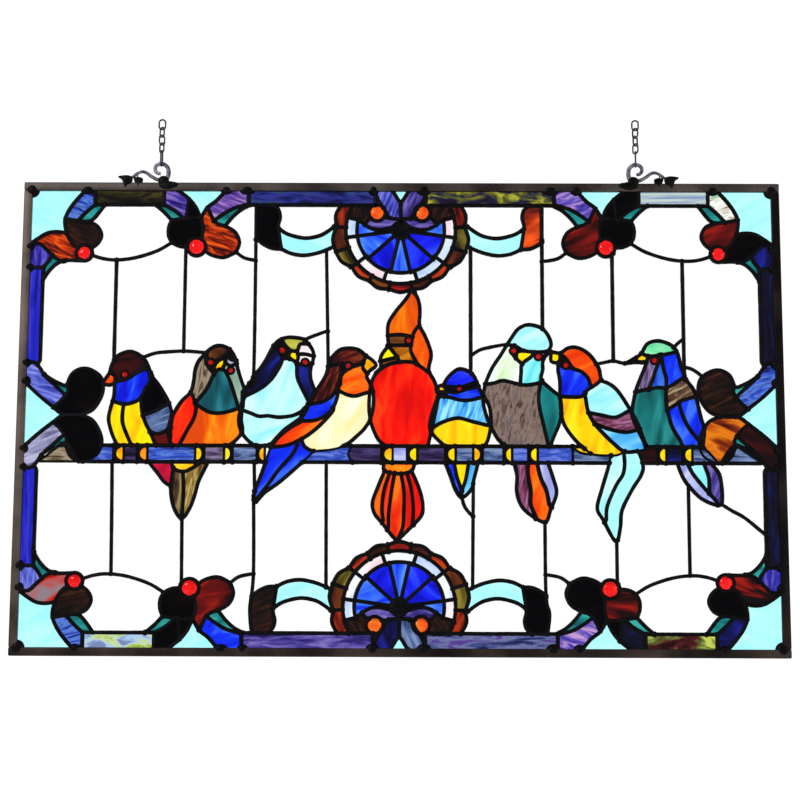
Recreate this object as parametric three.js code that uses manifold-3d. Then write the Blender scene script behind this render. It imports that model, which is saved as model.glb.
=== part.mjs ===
// Stained glass panel: birds on a branch inside a scrolled border, hung by two short chains.
// Millimetres, +Z up, the front faces -Y. The origin is midway between the two top links,
// where the chains bear on what they hang from.
import * as THREE from "three";
import { mergeVertices } from "three/addons/utils/BufferGeometryUtils.js";
import Module from "manifold-3d";

const wasm = await Module();
wasm.setup();

// Driving dimensions
const panelWidth = 813;
const panelHeight = 508;
const frameFace = 9;
const frameDepth = 7.4;
const channelDepth = 5;
const channelGap = 5.8;
const glassThickness = 3;
const seamThickness = 5;
const seamWidth = 4;
const outlineWidth = 4.4;
const clearance = 0.3;
const glassGap = 0.45;
const facetTolerance = 2.2;
const branchTop = -33.5;
const branchBottom = -49.5;
const barEdge = 229.5;
const sideEdge = 383.5;
const paneLines = [77.5, 153.5, 228.5, 303];
const hookLeft = -259.5;
const hookRight = 253;
const linkWire = 1.7;
const linkRadius = 3.45;
const linkLeg = 4;
const linkTurn = 45;
const ringLinks = 4;
const longLinkLeg = 11.2;
const longLinkRadius = 2.9;
const hangHeight = 324;

const halfWidth = panelWidth / 2;
const halfHeight = panelHeight / 2;
const openWidth = halfWidth - frameFace;
const openHeight = halfHeight - frameFace;
const fieldWidth = openWidth + channelDepth - 2;
const fieldHeight = openHeight + channelDepth - 2;

// Solids and joins
function solidOf(geometry) {
  const bare = geometry.clone();
  bare.deleteAttribute("normal");
  bare.deleteAttribute("uv");
  const merged = mergeVertices(bare, 1e-4);
  return new wasm.Manifold(
    new wasm.Mesh({
      numProp: 3,
      vertProperties: merged.attributes.position.array,
      triVerts: new Uint32Array(merged.index.array),
    }),
  );
}

function geometryOf(solid) {
  const mesh = solid.getMesh();
  const geometry = new THREE.BufferGeometry();
  const corners = new THREE.BufferAttribute(mesh.vertProperties, 3);
  geometry.setAttribute("position", corners);
  geometry.setIndex(new THREE.BufferAttribute(mesh.triVerts, 1));
  geometry.computeVertexNormals();
  return geometry;
}

function joined(solids) {
  return wasm.Manifold.union(solids);
}

// A flat outline in the panel's plane, thickness centred on y = middle
function slab(points, thickness, middle = 0) {
  const shape = new THREE.Shape(points);
  const geometry = new THREE.ExtrudeGeometry(shape, { depth: thickness, bevelEnabled: false });
  geometry.rotateX(Math.PI / 2);
  geometry.translate(0, middle + thickness / 2, 0);
  return solidOf(geometry);
}

function plate(width, height, thickness) {
  const x = width / 2;
  const z = height / 2;
  return solidOf(new THREE.BoxGeometry(2 * x, thickness, 2 * z));
}

// Lines: a smooth way through a few points, faceted within a tolerance, then a strip along it
function smooth(points, closed = false) {
  const way = points.map(([x, z]) => new THREE.Vector3(x, z, 0));
  const curve = new THREE.CatmullRomCurve3(way, closed, "centripetal");
  const fine = curve.getPoints(4 * points.length).map((p) => new THREE.Vector2(p.x, p.y));
  if (!closed) return faceted(fine);
  const half = Math.floor(fine.length / 2);
  return [...faceted(fine.slice(0, half + 1)), ...faceted(fine.slice(half)).slice(1)];
}

function faceted(way) {
  const first = way[0];
  const last = way[way.length - 1];
  const chord = last.clone().sub(first);
  const offset = (point) => Math.abs(chord.cross(point.clone().sub(first))) / chord.length();
  const offsets = way.map(offset);
  const furthest = offsets.indexOf(Math.max(...offsets));
  if (offsets[furthest] < facetTolerance) return [first, last];
  return [...faceted(way.slice(0, furthest + 1)), ...faceted(way.slice(furthest)).slice(1)];
}

function strip(way, widthAt, thickness, closed = false, middle = 0) {
  const count = way.length;
  const sides = way.map((point, i) => {
    const before = way[closed && i === 0 ? count - 2 : Math.max(i - 1, 0)];
    const after = way[closed && i === count - 1 ? 1 : Math.min(i + 1, count - 1)];
    const ahead = after.clone().sub(before).normalize();
    const span = point.clone().sub(before).normalize();
    const mitre = 1 / Math.max(span.length() ? ahead.dot(span) : 1, 0.75);
    const reach = (mitre * widthAt(i / (count - 1))) / 2;
    const across = new THREE.Vector2(-ahead.y, ahead.x).multiplyScalar(reach);
    return [point.clone().add(across), point.clone().sub(across)];
  });
  const quads = [];
  for (let i = 0; i + 1 < count; i++) {
    quads.push(slab(inOrder([...sides[i], ...sides[i + 1]]), thickness, middle));
  }
  return joined(quads);
}

// Four corners put in order round their middle, so that a tight bend never crosses itself
function inOrder(corners) {
  const centre = new THREE.Vector2();
  corners.forEach((corner) => centre.add(corner));
  centre.divideScalar(corners.length);
  const bearing = (corner) => Math.atan2(corner.y - centre.y, corner.x - centre.x);
  return [...corners].sort((a, b) => bearing(a) - bearing(b));
}

// Every seam is made twice: as it is, and a clearance wider to cut the glass around it
function seam(points, width = seamWidth, closed = false) {
  const way = smooth(points, closed);
  const reach = width / 3;
  if (!closed) {
    const first = way[0].clone().sub(way[1]).setLength(reach);
    const last = way.at(-1).clone().sub(way.at(-2)).setLength(reach);
    way[0] = way[0].clone().add(first);
    way[way.length - 1] = way.at(-1).clone().add(last);
  }
  return {
    body: strip(way, () => width, seamThickness, closed),
    cut: strip(way, () => width + 2 * glassGap, 4 * frameDepth, closed),
  };
}

function mirror(points, sideways, upward) {
  return points.map(([x, z]) => [sideways * x, upward * z]);
}

function quarters(lines) {
  const signs = [[-1, 1], [1, 1], [-1, -1], [1, -1]];
  return signs.flatMap(([sideways, upward]) => lines.map((line) => mirror(line, sideways, upward)));
}

function around(centre, radius, from, to, steps) {
  return Array.from({ length: steps + 1 }, (_, i) => {
    const angle = THREE.MathUtils.degToRad(from + ((to - from) * i) / steps);
    return [centre[0] + radius * Math.cos(angle), centre[1] + radius * Math.sin(angle)];
  });
}

// Border, drawn for the upper right quarter
const jewel = { radius: 7.4, flat: 1.6, rise: 3.4 };
const borderJewels = [[340, 175.5], [219, 182.5]];
const medallionJewels = [[-26, 221], [22.5, 221]];
const borderInner = [
  [
    [383, 145], [377, 156], [366, 166.5], [352, 167], [340, 166], [331, 170.5], [305, 168.5],
    [285, 170], [267, 175.5], [249, 186], [232, 184], [227, 174], [217, 172], [206, 178],
  ],
  [[206, 178], [190, 171.5], [178, 175.5], [154, 168]],
  [[154, 191], [142, 184.5], [128, 179], [104, 174.5], [85, 178], [72, 185]],
];
const scrollLines = [
  [[337, 245], [357, 227], [358.5, 198], [388, 194], [399, 184]],
  [[317, barEdge], [336, 211], [322, 196], [333, 181]],
  [[358.5, 198], [348, 181]],
  [[361, 214], [346, 211.5], [336, 211]],
  [[399, 159.5], [384, 158.5], [377.5, 175], [366, 166.5]],
  [[240, 245], [221, 227], [215.5, 216], [216, 190.5]],
  [[265, barEdge], [245.5, 211], [250, 198], [248, 186.5]],
  [[222, 227], [245.5, 211]],
  [[190, 245], [209, 227], [215.5, 216]],
  [[209, 226], [190, 205], [174.5, 188], [178, 175.5]],
  [[160, 228], [181, 214], [189, 205]],
  [[133.5, barEdge], [131.5, 205], [128, 179]],
  [[131.5, 205], [102, 192.3], [71, 206]],
];
const barDividers = [164.5, 253, 327.5].map((x) => [[x, barEdge], [x, 246]]);
const barLine = [[27, barEdge], [317, barEdge]];
const sideUpper = [
  [sideEdge, 147], [sideEdge, 60], [379, 46], [368, 36.5], [357, 33.5], [351, 35], [346, 43.5],
  [335, 48.5],
  [324, 45], [318, 34], [319, 18], [327, 6], [339, 0],
];
const sideLower = [
  [sideEdge, -147], [sideEdge, -58], [378, branchBottom], [340, branchBottom], [327, -45], [319.5, -33],
  [319.5, -19], [327, -6], [339, 0],
];
const sideLines = [
  [[399, 32], [386, 20], [372, 8], [359, 0], [339, 0]],
  [[399, 55.5], [382, 54.5], [374, 38], [364, 28], [354, 22]],
  [[351, 35], [356, 23], [366, 5]],
];
const sideShelf = [[379, -46], [368, -36.5], [357, -33.5], [349, -38], [344, branchBottom]];

// Medallion of five fans inside two rings, drawn for the top one
const hub = [-1, 205];
const medallionEnds = [[-29, 247], [-29, barEdge], [-67, barEdge]];
const medallionEdge = [
  [-67, 230], [-72, 212], [-73.5, 191], [-65, 172], [-51, 160.5], [-38, 146], [-23, 141], [-1, 133],
  [21, 141], [36, 146], [49, 160.5], [63, 172], [71.5, 191], [70, 212], [65, 230],
];
const fanAngles = [187, 218, 252, 288, 322, 353];
const ringRadii = [48.5, 60];
const medallionRelief = [
  ...ringRadii.map((radius) => around(hub, radius, 152, 388, 16)),
  ...fanAngles.map((angle) => [
    around(hub, 9, angle, angle, 1)[0],
    around(hub, 60, angle, angle, 1)[0],
  ]),
  ...[-1, 1].flatMap((side) => [
    [[hub[0] + 13 * side, 246], [hub[0] + 2 * side, 231], [hub[0] + side, 205]],
    [[hub[0] + 24 * side, 246], [hub[0] + 19 * side, 229], [hub[0] + 14 * side, 215], [hub[0], 215]],
    [
      [hub[0] + 3 * side, 203], [hub[0] + 22 * side, 200], [hub[0] + 34 * side, 206],
      [hub[0] + 28 * side, 214],
    ],
  ]),
];

// Birds: the outline of each body and tail, then the seams between its pieces of glass
const birds = {
  bird_maroon_head: {
    outline: [
      [-299, branchTop], [-307, -18], [-309, -3], [-305, 14], [-304.5, 31], [-316, 33],
      [-308, 45], [-302, 61],
      [-289, 66], [-276, 61], [-269, 47], [-262, 33], [-250, 19], [-243, 3], [-243.5, branchTop],
    ],
    beak: [[-306, 43], [-302, 37], [-304.5, 31]],
    seams: [
      [[-303, 36], [-290, 39], [-280, 47], [-268, 47]],
      [[-268, 47], [-266, 36], [-276, 18], [-292, 11.5], [-305, 15]],
      [[-295, 11], [-294, -12], [-284, branchTop]],
      [[-276, 17], [-272, -2], [-258, branchTop]],
      [[-272, -2], [-246, 12]],
      [[-264, -18], [-254, -20.5], [-243, -12]],
    ],
    at: [-285, 0],
  },
  bird_teal_bib: {
    outline: [
      [-240, branchTop], [-244.5, -22], [-241, -3], [-232, 14], [-222, 29], [-216, 51],
      [-208, 66], [-194, 73],
      [-181, 66], [-175, 49], [-167, 26], [-168, 4], [-168, -18], [-181, branchTop],
    ],
    beak: [[-199, 50], [-187, 60], [-190, 50]],
    seams: [
      [[-224, 24], [-216, 8], [-222, -11], [-235, branchTop]],
      [[-217, 11], [-204, 2.5], [-188, 1.5], [-168, 8]],
      [[-218, 14], [-206, 33], [-198, 50], [-186, 49], [-180, 30], [-169, 9]],
      [[-208, 63], [-198, 60], [-184, 65]],
      [[-208, 62], [-202, 48]],
    ],
    at: [-195, -15],
  },
  bird_pale_blue: {
    outline: [
      [-153, branchTop], [-166, -17], [-169, 2], [-167, 12], [-164, 29], [-154, 45], [-140, 60],
      [-129, 77],
      [-117, 81.5], [-103, 80], [-94.5, 66], [-97, 42], [-93, 24], [-98, 12], [-106, -2], [-124, -17],
      [-138, branchTop],
    ],
    beak: [[-119, 69], [-110, 69], [-110, 57]],
    seams: [
      [[-169, 7], [-150, -0.5], [-140, 0.5], [-128, -1.5], [-98, 11]],
      [[-164, 16], [-146, 27], [-132, 42], [-124, 62], [-111, 57]],
      [[-111, 57], [-110, 38], [-98, 14]],
      [[-125, 77], [-116, 70], [-107, 79]],
    ],
    at: [-130, 15],
  },
  bird_cream_belly: {
    outline: [
      [-77, 57], [-66, 68], [-53, 70.5], [-39, 63], [-24, 55], [-36, 46], [-30, 30], [-29, 12], [-34, -4],
      [-47, -22], [-58, -31], [-72, -36.5], [-88, -37.5], [-98, -46], [-115, -63], [-133, -78],
      [-152, -90],
      [-146, -68], [-131, -38], [-137, branchTop], [-128, -22], [-114, -9], [-105, -2], [-97, 13],
      [-88, 31],
      [-78, 48],
    ],
    closed: true,
    beak: [[-41, 62], [-41, 50]],
    seams: [
      [[-66, 27], [-62, 44], [-47, 55], [-38, 42], [-30, 29]],
      [[-66, 27], [-47, 21], [-30, 25]],
      [[-66, 27], [-69, 7], [-84, -12], [-106, -28], [-135, -34]],
      [[-106, -28], [-98, -35], [-88, -37.5]],
      [[-67, 26], [-80, 14], [-97, 12]],
      [[-105, -5], [-90, -5], [-70, 8]],
      [[-109, -31], [-128, -54], [-145, -83]],
    ],
    at: [-70, 0],
  },
  bird_red_breast: {
    outline: [
      [-17, branchTop], [-29, -11], [-32, 6], [-31, 26], [-22, 49], [-20, 66], [-13, 80],
      [-12, 97], [1, 116],
      [10, 134], [19, 117], [19, 97], [29, 80], [31, 62], [29, 49], [38, 30], [37, 8], [31, -17],
      [29, branchTop],
    ],
    beak: [[-13, 84], [0, 86], [14, 84]],
    seams: [
      [[-22, 49], [-3, 56.5], [15, 56], [29, 50]],
      [[19, 97], [12, 78], [16, 61], [28, 51]],
      [[-15, 74], [0, 77], [12, 73]],
      [[-20, 60], [-4, 66], [3, 57]],
    ],
    at: [0, 0],
  },
  bird_blue_cap: {
    outline: [
      [49, branchTop], [39, -22], [32, -13], [37, 5], [46, 20], [39, 28], [47, 41], [59, 48],
      [72, 46], [79, 36],
      [84, 21], [93, 3], [93, -16], [90, branchTop],
    ],
    beak: [[42, 34], [48, 31], [46, 26]],
    seams: [
      [[32, -13], [47, -6], [63, -2.5], [80, -7], [94, -10]],
      [[44, 20], [64, 16.5], [84, 18]],
      [[49, 29], [62, 31], [78, 35]],
      [[50, 25], [62, 26], [80, 31]],
    ],
    at: [65, -20],
  },
  bird_brown_back: {
    outline: [
      [110, branchTop], [97, -15], [88, 12], [91, 34], [101, 56], [115, 73], [124, 90], [138, 96],
      [151, 91],
      [157, 75], [151, 58], [152, 40], [167, 24], [168, -2], [158, -30], [155, branchTop],
    ],
    beak: [[125, 71], [142, 65], [128, 56]],
    seams: [
      [[116, 79], [131, 71.5], [156, 69]],
      [[92, 34], [109, 38], [128, 33], [149, 34]],
      [[150, 40], [147, 12], [156, -29]],
      [[127, 34], [127, 57]],
    ],
    at: [120, 0],
  },
  bird_yellow_belly: {
    outline: [
      [157, 68], [170, 68], [183, 72], [196, 67], [207, 55], [212, 39], [226, 30], [244, 7],
      [249, -8], [259, -36],
      [254, -40], [255, -57], [246, -76], [233, -97], [228, -126], [209, -106], [209, -80], [221, -53],
      [222, -42], [204, -40.5], [185, -25], [171, -4], [168, 21], [169, 48],
    ],
    closed: true,
    beak: [[168, 68], [167, 56]],
    seams: [
      [[172, 66], [181, 52], [203, 33], [211, 38]],
      [[168, 21.5], [195, 20.5]],
      [[200, 33], [195, 21], [199, 3], [217, -22], [236, -37.5], [258, -37]],
      [[198, 5], [222, -2], [242, 8]],
      [[205, -7], [228, -16.5], [250, -13]],
      [[235.5, -38], [235, -55], [220, -84], [217, -112]],
    ],
    at: [185, 5],
  },
  bird_green_cap: {
    outline: [
      [261, branchTop], [250, -10], [246, 10], [253, 36], [260, 57], [249, 60.5], [261, 72],
      [274, 78.5], [287, 74],
      [293, 64], [297, 44], [309, 24], [315, 3], [320, -29], [316, branchTop],
    ],
    beak: [[257, 67], [262, 63], [260, 57]],
    seams: [
      [[257, 67], [272, 66], [289, 70]],
      [[251, 27], [268, 30.5], [283, 30], [299, 39]],
      [[276, 65], [281, 30], [284, 2], [297, branchTop]],
      [[283, 6], [296, 15], [311, 19]],
      [[295, 14], [303, -9], [318, -29]],
      [[272, 57], [264, 30]],
    ],
    at: [265, 0],
  },
};
const tails = {
  tail_crimson: {
    outline: [[-266, branchBottom], [-254, -62], [-241, -77]],
    seams: [],
    at: [-248, -58],
  },
  tail_brown: {
    outline: [
      [-241.5, branchBottom], [-242, -75], [-238, -98], [-229, -110], [-218, -93],
      [-211, -67], [-201, branchBottom],
    ],
    seams: [[[-241, -50], [-228, -60], [-211, -50]], [[-228, -60], [-229, -109]]],
    at: [-235, -70],
  },
  tail_orange_fan: {
    outline: [
      [-17, branchBottom], [-17, -66], [-27, -89], [-24, -108], [-4, -132], [14, -115], [23, -98],
      [16, -70],
      [14, branchBottom],
    ],
    seams: [
      [[-16, -50], [-1, -60.5], [14, -50]],
      [[-10, -60], [-19, -92], [-14, -114]],
      [[-5, -61], [-11, -93], [-7, -118]],
      [[2, -61], [5, -94], [0, -122]],
      [[8, -61], [13, -90], [11, -114]],
    ],
    at: [-2, -90],
  },
  tail_blue_yellow: {
    outline: [[47, branchBottom], [54, -69], [65, -86], [77, -69], [82, branchBottom]],
    seams: [[[57, -50], [64, -80]], [[72, -50], [66, -80]]],
    at: [64, -60],
  },
  tail_orange_mauve: {
    outline: [
      [120, branchBottom], [125, -64], [124, -90], [133, -103], [150, -113], [155, -98],
      [163.5, -81], [155, branchBottom],
    ],
    seams: [[[136, -50], [136, -85], [141, -107]], [[145, -50], [150, -74], [158, -94]]],
    at: [141, -80],
  },
  tail_lavender: {
    outline: [
      [292, branchBottom], [300, -68], [316, -86], [337, -92], [337, -70], [325, branchBottom],
    ],
    seams: [[[303, -50], [319, -73], [336, -91]], [[319, -50], [325, -73], [331, -89]]],
    at: [314, -60],
  },
};

// Branch: two long seams with a foot and a division at each of these places
const branchLines = [
  [[-320, branchTop], [-136, branchTop]],
  [[-381, branchBottom], [-138, branchBottom]],
  [[-57, branchTop], [192, branchTop]],
  [[-100, branchBottom], [221, branchBottom]],
  [[259, branchTop], [320, branchTop]],
  [[256, branchBottom], [381, branchBottom]],
];
const branchPieces = {
  branch_left: { at: [-240, -41], feet: [-298, -272, -212, -182, -148] },
  branch_middle: { at: [-30, -41], feet: [-15, 12, 53, 81, 113, 140] },
  branch_right: { at: [290, -41], feet: [275, 302] },
};
const footWidth = 8;

// Seams across the clear field
const [near, second, third, far] = paneLines;
const fieldLines = [
  [[-far, 168.5], [-far, 60]],
  [[-third, 178], [-third, 69]],
  [[-274, 60], [-262, 66], [-231, 69.5], [-207, 66]],
  [[-second, barEdge], [-second, 46]],
  [[-near, 181], [-near, 57]],
  [[-103, 80], [-92, 87], [-near, 91]],
  [[near, 181], [near, 45]],
  [[near, 66], [88, 72], [116, 77]],
  [[second, barEdge], [second, 92]],
  [[third, 178], [third, 58]],
  [[206, 56], [226, 59], [238, 57.5], [250, 61]],
  [[far, 168.5], [far - 1, 37]],
  [[287, 74], [far, 84]],
  [[far, 54], [321, 46]],
  [[-far, branchBottom], [-far, -168.5]],
  [[-third, -110], [-third, -178]],
  [[-second, branchBottom], [-second, -barEdge]],
  [[-near, branchBottom], [-near, -181]],
  [[near, -72], [near, -181]],
  [[65, -86], [70, -97], [near, -107]],
  [[second, -112], [second, -barEdge]],
  [[third, -126], [third, -178]],
  [[far, -72], [far, -168.5]],
  [[337, -92], [360, -108], [384, -125]],
];
const panes = {
  upper: [
    [-340, 110], [-265, 120], [-190, 130], [-115, 130], [-40, 100], [50, 100], [115, 130],
    [190, 130], [265, 120],
    [340, 110],
  ],
  lower: [
    [-340, -110], [-270, -120], [-190, -120], [-115, -120], [-50, -100], [40, -100], [115, -130],
    [190, -130],
    [265, -120], [330, -130], [360, -75],
  ],
};

// The seam network that the panes are set in
function rim() {
  const outer = plate(2 * fieldWidth, 2 * fieldHeight, seamThickness);
  const opening = plate(2 * openWidth - 3, 2 * openHeight - 3, 2 * seamThickness);
  return outer.subtract(opening);
}

function rimCut() {
  const outer = plate(2 * fieldWidth + 2, 2 * fieldHeight + 2, 4 * frameDepth);
  const inner = 3 + 2 * glassGap;
  return outer.subtract(plate(2 * openWidth - inner, 2 * openHeight - inner, 5 * frameDepth));
}

const mainSeams = [
  ...quarters(borderInner).map((line) => seam(line, outlineWidth)),
  ...[-1, 1].flatMap((side) => [
    seam(mirror(sideUpper, side, 1), outlineWidth),
    seam(mirror(sideLower, side, 1), outlineWidth),
  ]),
  ...[1, -1].flatMap((up) => [
    seam(mirror(medallionEdge, 1, up), outlineWidth),
    seam(mirror(medallionEnds.slice(0, 2), 1, up), outlineWidth),
    seam(mirror(medallionEnds.slice(1), 1, up), outlineWidth),
    seam([[27, 247 * up], [27, barEdge * up]], outlineWidth),
    seam([[27, barEdge * up], [66, barEdge * up]], outlineWidth),
  ]),
  ...Object.values(birds).map(({ outline, closed }) => seam(outline, outlineWidth, closed)),
  ...Object.values(tails).map(({ outline }) => seam(outline, outlineWidth)),
  ...branchLines.map((line) => seam(line, outlineWidth)),
  ...fieldLines.map((line) => seam(line)),
];
const thickField = plate(2 * fieldWidth - 0.4, 2 * fieldHeight - 0.4, 2 * frameDepth);
const network = joined([rim(), ...mainSeams.map(({ body }) => body)]).intersect(
  plate(2 * fieldWidth, 2 * fieldHeight, 2 * seamThickness),
);
const cuts = joined([rimCut(), network, ...mainSeams.map(({ cut }) => cut)]);
const islands = thickField.subtract(cuts).decompose();
const glassSheet = plate(2 * fieldWidth, 2 * fieldHeight, glassThickness);

const usedIslands = new Set();

function islandAt([x, z]) {
  const pin = solidOf(new THREE.BoxGeometry(0.4, 0.4, 0.4).translate(x, 0, z));
  const found = islands.find((island) => island.intersect(pin).volume() > 0.01);
  if (!found) throw new Error("no glass at " + x + ", " + z);
  usedIslands.add(found);
  return found;
}

// The small clear pieces left over between the birds are one with the network
function networkWithSmallPanes() {
  const spare = islands.filter((island) => !usedIslands.has(island));
  const sheet = glassSheet.subtract(network).decompose();
  const isSmall = (piece) => spare.some((island) => piece.intersect(island).volume() > 1);
  return joined([network, ...sheet.filter(isSmall)]);
}

// A pane, or a group of pieces soldered edge to edge, with raised seams and jewels on its front
function glassPiece(at, seams = [], jewels = []) {
  const island = islandAt(at);
  const pane = island.intersect(glassSheet);
  if (!seams.length) return pane;
  const width = seamWidth * 0.8;
  const depth = seamThickness / 2;
  const raised = seams.map((line) => strip(smooth(line), () => width, depth, false, -depth / 2));
  return pane.add(island.intersect(joined([...raised, ...jewels.map(jewelSolid)])));
}

function jewelSolid([x, z]) {
  const { radius, flat, rise } = jewel;
  const profile = [[0, 0], [radius, 0], [radius, flat], [0.6 * radius, rise], [0, rise]];
  const dome = new THREE.LatheGeometry(profile.map(([r, h]) => new THREE.Vector2(r, h)), 8);
  return solidOf(dome.rotateX(Math.PI).translate(x, 0, z));
}

// Hook: a flat bar rising from a solder pad and curled round the lowest link, with a trailing stem
// that carries two leaves. Drawn for the left one, with x from the chain and z from the frame.
const hook = { thickness: 2.6, width: 3.8, padWidth: 24, padHeight: 10.5, padThickness: 1.6 };
const hookCurl = [[6, 3], [8, 10], [6.5, 17.5], [0.5, 21.3], [-5.5, 19], [-6.5, 14], [-4, 10.7],
[-0.5, 10.2]];
const hookStem = [[6, 2.6], [-3.5, 3.4], [-10.5, 7], [-16, 11], [-21, 12.2], [-27, 9.5], [-32, 6],
[-45, 6]];
const hookLeaves = [
  [[-45, 6.4], [-42.5, 2.6], [-38.5, 0.4], [-33, 0.8], [-31, 5.5]],
  [[-28, 9.5], [-27.5, 3], [-24.5, 0.4], [-21, 1.6], [-20.5, 11.5]],
];
const hookBlob = [[-4.5, 0], [-3.5, 3.4], [4, 4.6], [11, 3], [19, 0]];

function hookSolid(sideways) {
  const top = halfHeight + clearance;
  const place = ([x, z]) => [sideways * x, top + z];
  const corner = (point) => new THREE.Vector2(...place(point));
  const bar = (points, from, to) => {
    const widthAt = (share) => from + (to - from) * share;
    return strip(smooth(points.map(place)), widthAt, hook.thickness);
  };
  const front = -frameDepth / 2 - clearance - hook.padThickness;
  const depth = hook.thickness / 2 - front;
  const pad = new THREE.BoxGeometry(hook.padWidth, hook.padThickness, hook.padHeight);
  const padX = sideways * (hookBlob.at(-1)[0] + hookBlob[0][0]) / 2;
  pad.translate(padX, front + hook.padThickness / 2, top + 2.5 - hook.padHeight / 2);
  return joined([
    bar(hookCurl, hook.width + 0.4, hook.width * 0.7),
    bar(hookStem, hook.width, 2),
    ...hookLeaves.map((leaf) => slab(leaf.map(corner), hook.thickness)),
    slab(hookBlob.map(corner), depth, front + depth / 2),
    solidOf(pad),
  ]);
}

// Chain link: a ring of round wire drawn out into an oval
function linkSolid(radius, leg, turn, x, z) {
  const ring = new THREE.TorusGeometry(radius, linkWire / 2, 6, 10);
  ring.rotateZ(Math.PI / 10);
  ring.rotateX(Math.PI / 2);
  const corners = ring.attributes.position;
  for (let i = 0; i < corners.count; i++) {
    corners.setZ(i, corners.getZ(i) + (Math.sign(corners.getZ(i)) * leg) / 2);
  }
  ring.rotateZ(THREE.MathUtils.degToRad(turn));
  ring.translate(x, 0, z);
  return solidOf(ring);
}

// Finishes
const finishes = {
  bronzedZinc: { color: 0x6a625c, roughness: 0.5, metalness: 0.9 },
  blackPatina: { color: 0x17161a, roughness: 0.45, metalness: 0.8 },
  greyIron: { color: 0x77747c, roughness: 0.5, metalness: 0.8 },
  brassWire: { color: 0x5c5560, roughness: 0.4, metalness: 0.9 },
  clearGlass: { color: 0xf2f7f8, roughness: 0.05, metalness: 0, transparent: true, opacity: 0.25 },
};

function finish(name) {
  return new THREE.MeshStandardMaterial(finishes[name]);
}

function stained(color) {
  return new THREE.MeshStandardMaterial({ color, roughness: 0.15, metalness: 0 });
}

const panel = new THREE.Group();
panel.position.z = -hangHeight;

function addPiece(name, solid, material) {
  const mesh = new THREE.Mesh(geometryOf(solid), material);
  mesh.name = name;
  panel.add(mesh);
}

// Frame of channel bars: each starts along X with its groove towards the glass, and is then turned
function frameBar(name, length, turn) {
  const reach = turn % 2 ? openWidth : openHeight;
  const bar = solidOf(new THREE.BoxGeometry(length, frameDepth, frameFace));
  const groove = new THREE.BoxGeometry(length + 2, channelGap, 2 * channelDepth);
  const channel = bar.subtract(solidOf(groove.translate(0, 0, -frameFace / 2)));
  const placed = geometryOf(channel).translate(0, 0, reach + frameFace / 2);
  const mesh = new THREE.Mesh(placed.rotateY((turn * Math.PI) / 2), finish("bronzedZinc"));
  mesh.name = name;
  panel.add(mesh);
}

const sideLength = 2 * (openHeight - clearance);
frameBar("frame_top", panelWidth, 0);
frameBar("frame_right", sideLength, 1);
frameBar("frame_bottom", panelWidth, 2);
frameBar("frame_left", sideLength, 3);

const birdColors = {
  bird_maroon_head: 0xe8c818,
  bird_teal_bib: 0xe8600c,
  bird_pale_blue: 0xbdf2f4,
  bird_cream_belly: 0xf6f0b4,
  bird_red_breast: 0xe01808,
  bird_blue_cap: 0x3c8ce8,
  bird_brown_back: 0x7d6a62,
  bird_yellow_belly: 0xf2dc14,
  bird_green_cap: 0x2c8c90,
};
for (const [name, bird] of Object.entries(birds)) {
  const seams = [bird.beak, ...bird.seams];
  addPiece(name, glassPiece(bird.at, seams), stained(birdColors[name]));
}

const tailColors = {
  tail_crimson: 0xb01030,
  tail_brown: 0x8a6a3c,
  tail_orange_fan: 0xe84a0c,
  tail_blue_yellow: 0x2c7ce0,
  tail_orange_mauve: 0xe8600c,
  tail_lavender: 0x9a9cc8,
};
for (const [name, tail] of Object.entries(tails)) {
  addPiece(name, glassPiece(tail.at, tail.seams), stained(tailColors[name]));
}

for (const [name, part] of Object.entries(branchPieces)) {
  const ends = part.feet.flatMap((x) => [x - footWidth / 2, x + footWidth / 2]);
  const seams = ends.map((x) => [[x, branchTop], [x, branchBottom]]);
  addPiece(name, glassPiece(part.at, seams), stained(0x3a4ab0));
}

const borderRelief = [...scrollLines, ...barDividers, barLine];
for (const [name, side] of [["border_left", -1], ["border_right", 1]]) {
  const seams = [1, -1].flatMap((up) => [
    ...borderRelief.map((line) => mirror(line, side, up)),
    ...sideLines.map((line) => mirror(line, side, up)),
  ]);
  seams.push(mirror(sideShelf, side, 1));
  const jewels = [1, -1].flatMap((up) => mirror(borderJewels, side, up));
  addPiece(name, glassPiece([side * 391, 100], seams, jewels), stained(0x2a3a8c));
}
for (const [name, up] of [["medallion_top", 1], ["medallion_bottom", -1]]) {
  const seams = medallionRelief.map((line) => mirror(line, 1, up));
  const jewels = mirror(medallionJewels, 1, up);
  addPiece(name, glassPiece([0, 180 * up], seams, jewels), stained(0x2038d8));
}

for (const [row, places] of Object.entries(panes)) {
  places.forEach((at, i) => {
    addPiece("clear_pane_" + row + "_" + (i + 1), glassPiece(at), finish("clearGlass"));
  });
}

addPiece("solder_lines", networkWithSmallPanes(), finish("blackPatina"));

// Hooks and chains: round links from the top down, then a long one through the hook's curl
function chain(name, x, longTurn) {
  const ringReach = linkRadius + linkLeg / 2;
  const longReach = longLinkRadius + longLinkLeg / 2;
  let bearing = hangHeight;
  for (let i = 1; i <= ringLinks; i++) {
    const turn = i === 1 ? 0 : (i % 2 ? linkTurn : -linkTurn);
    const middle = bearing - ringReach + linkWire / 2;
    const link = linkSolid(linkRadius, linkLeg, turn, x, middle);
    addPiece("link_" + name + "_" + i, link, finish("brassWire"));
    bearing = middle - ringReach + linkWire / 2 + clearance;
  }
  const middle = bearing - longReach + linkWire / 2;
  const long = linkSolid(longLinkRadius, longLinkLeg, longTurn, x, middle);
  addPiece("link_" + name + "_long", long, finish("brassWire"));
}

addPiece("hook_left", hookSolid(1).translate([hookLeft, 0, 0]), finish("greyIron"));
addPiece("hook_right", hookSolid(-1).translate([hookRight, 0, 0]), finish("greyIron"));
chain("left", hookLeft, 78);
chain("right", hookRight, 84);

export default panel;
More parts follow.
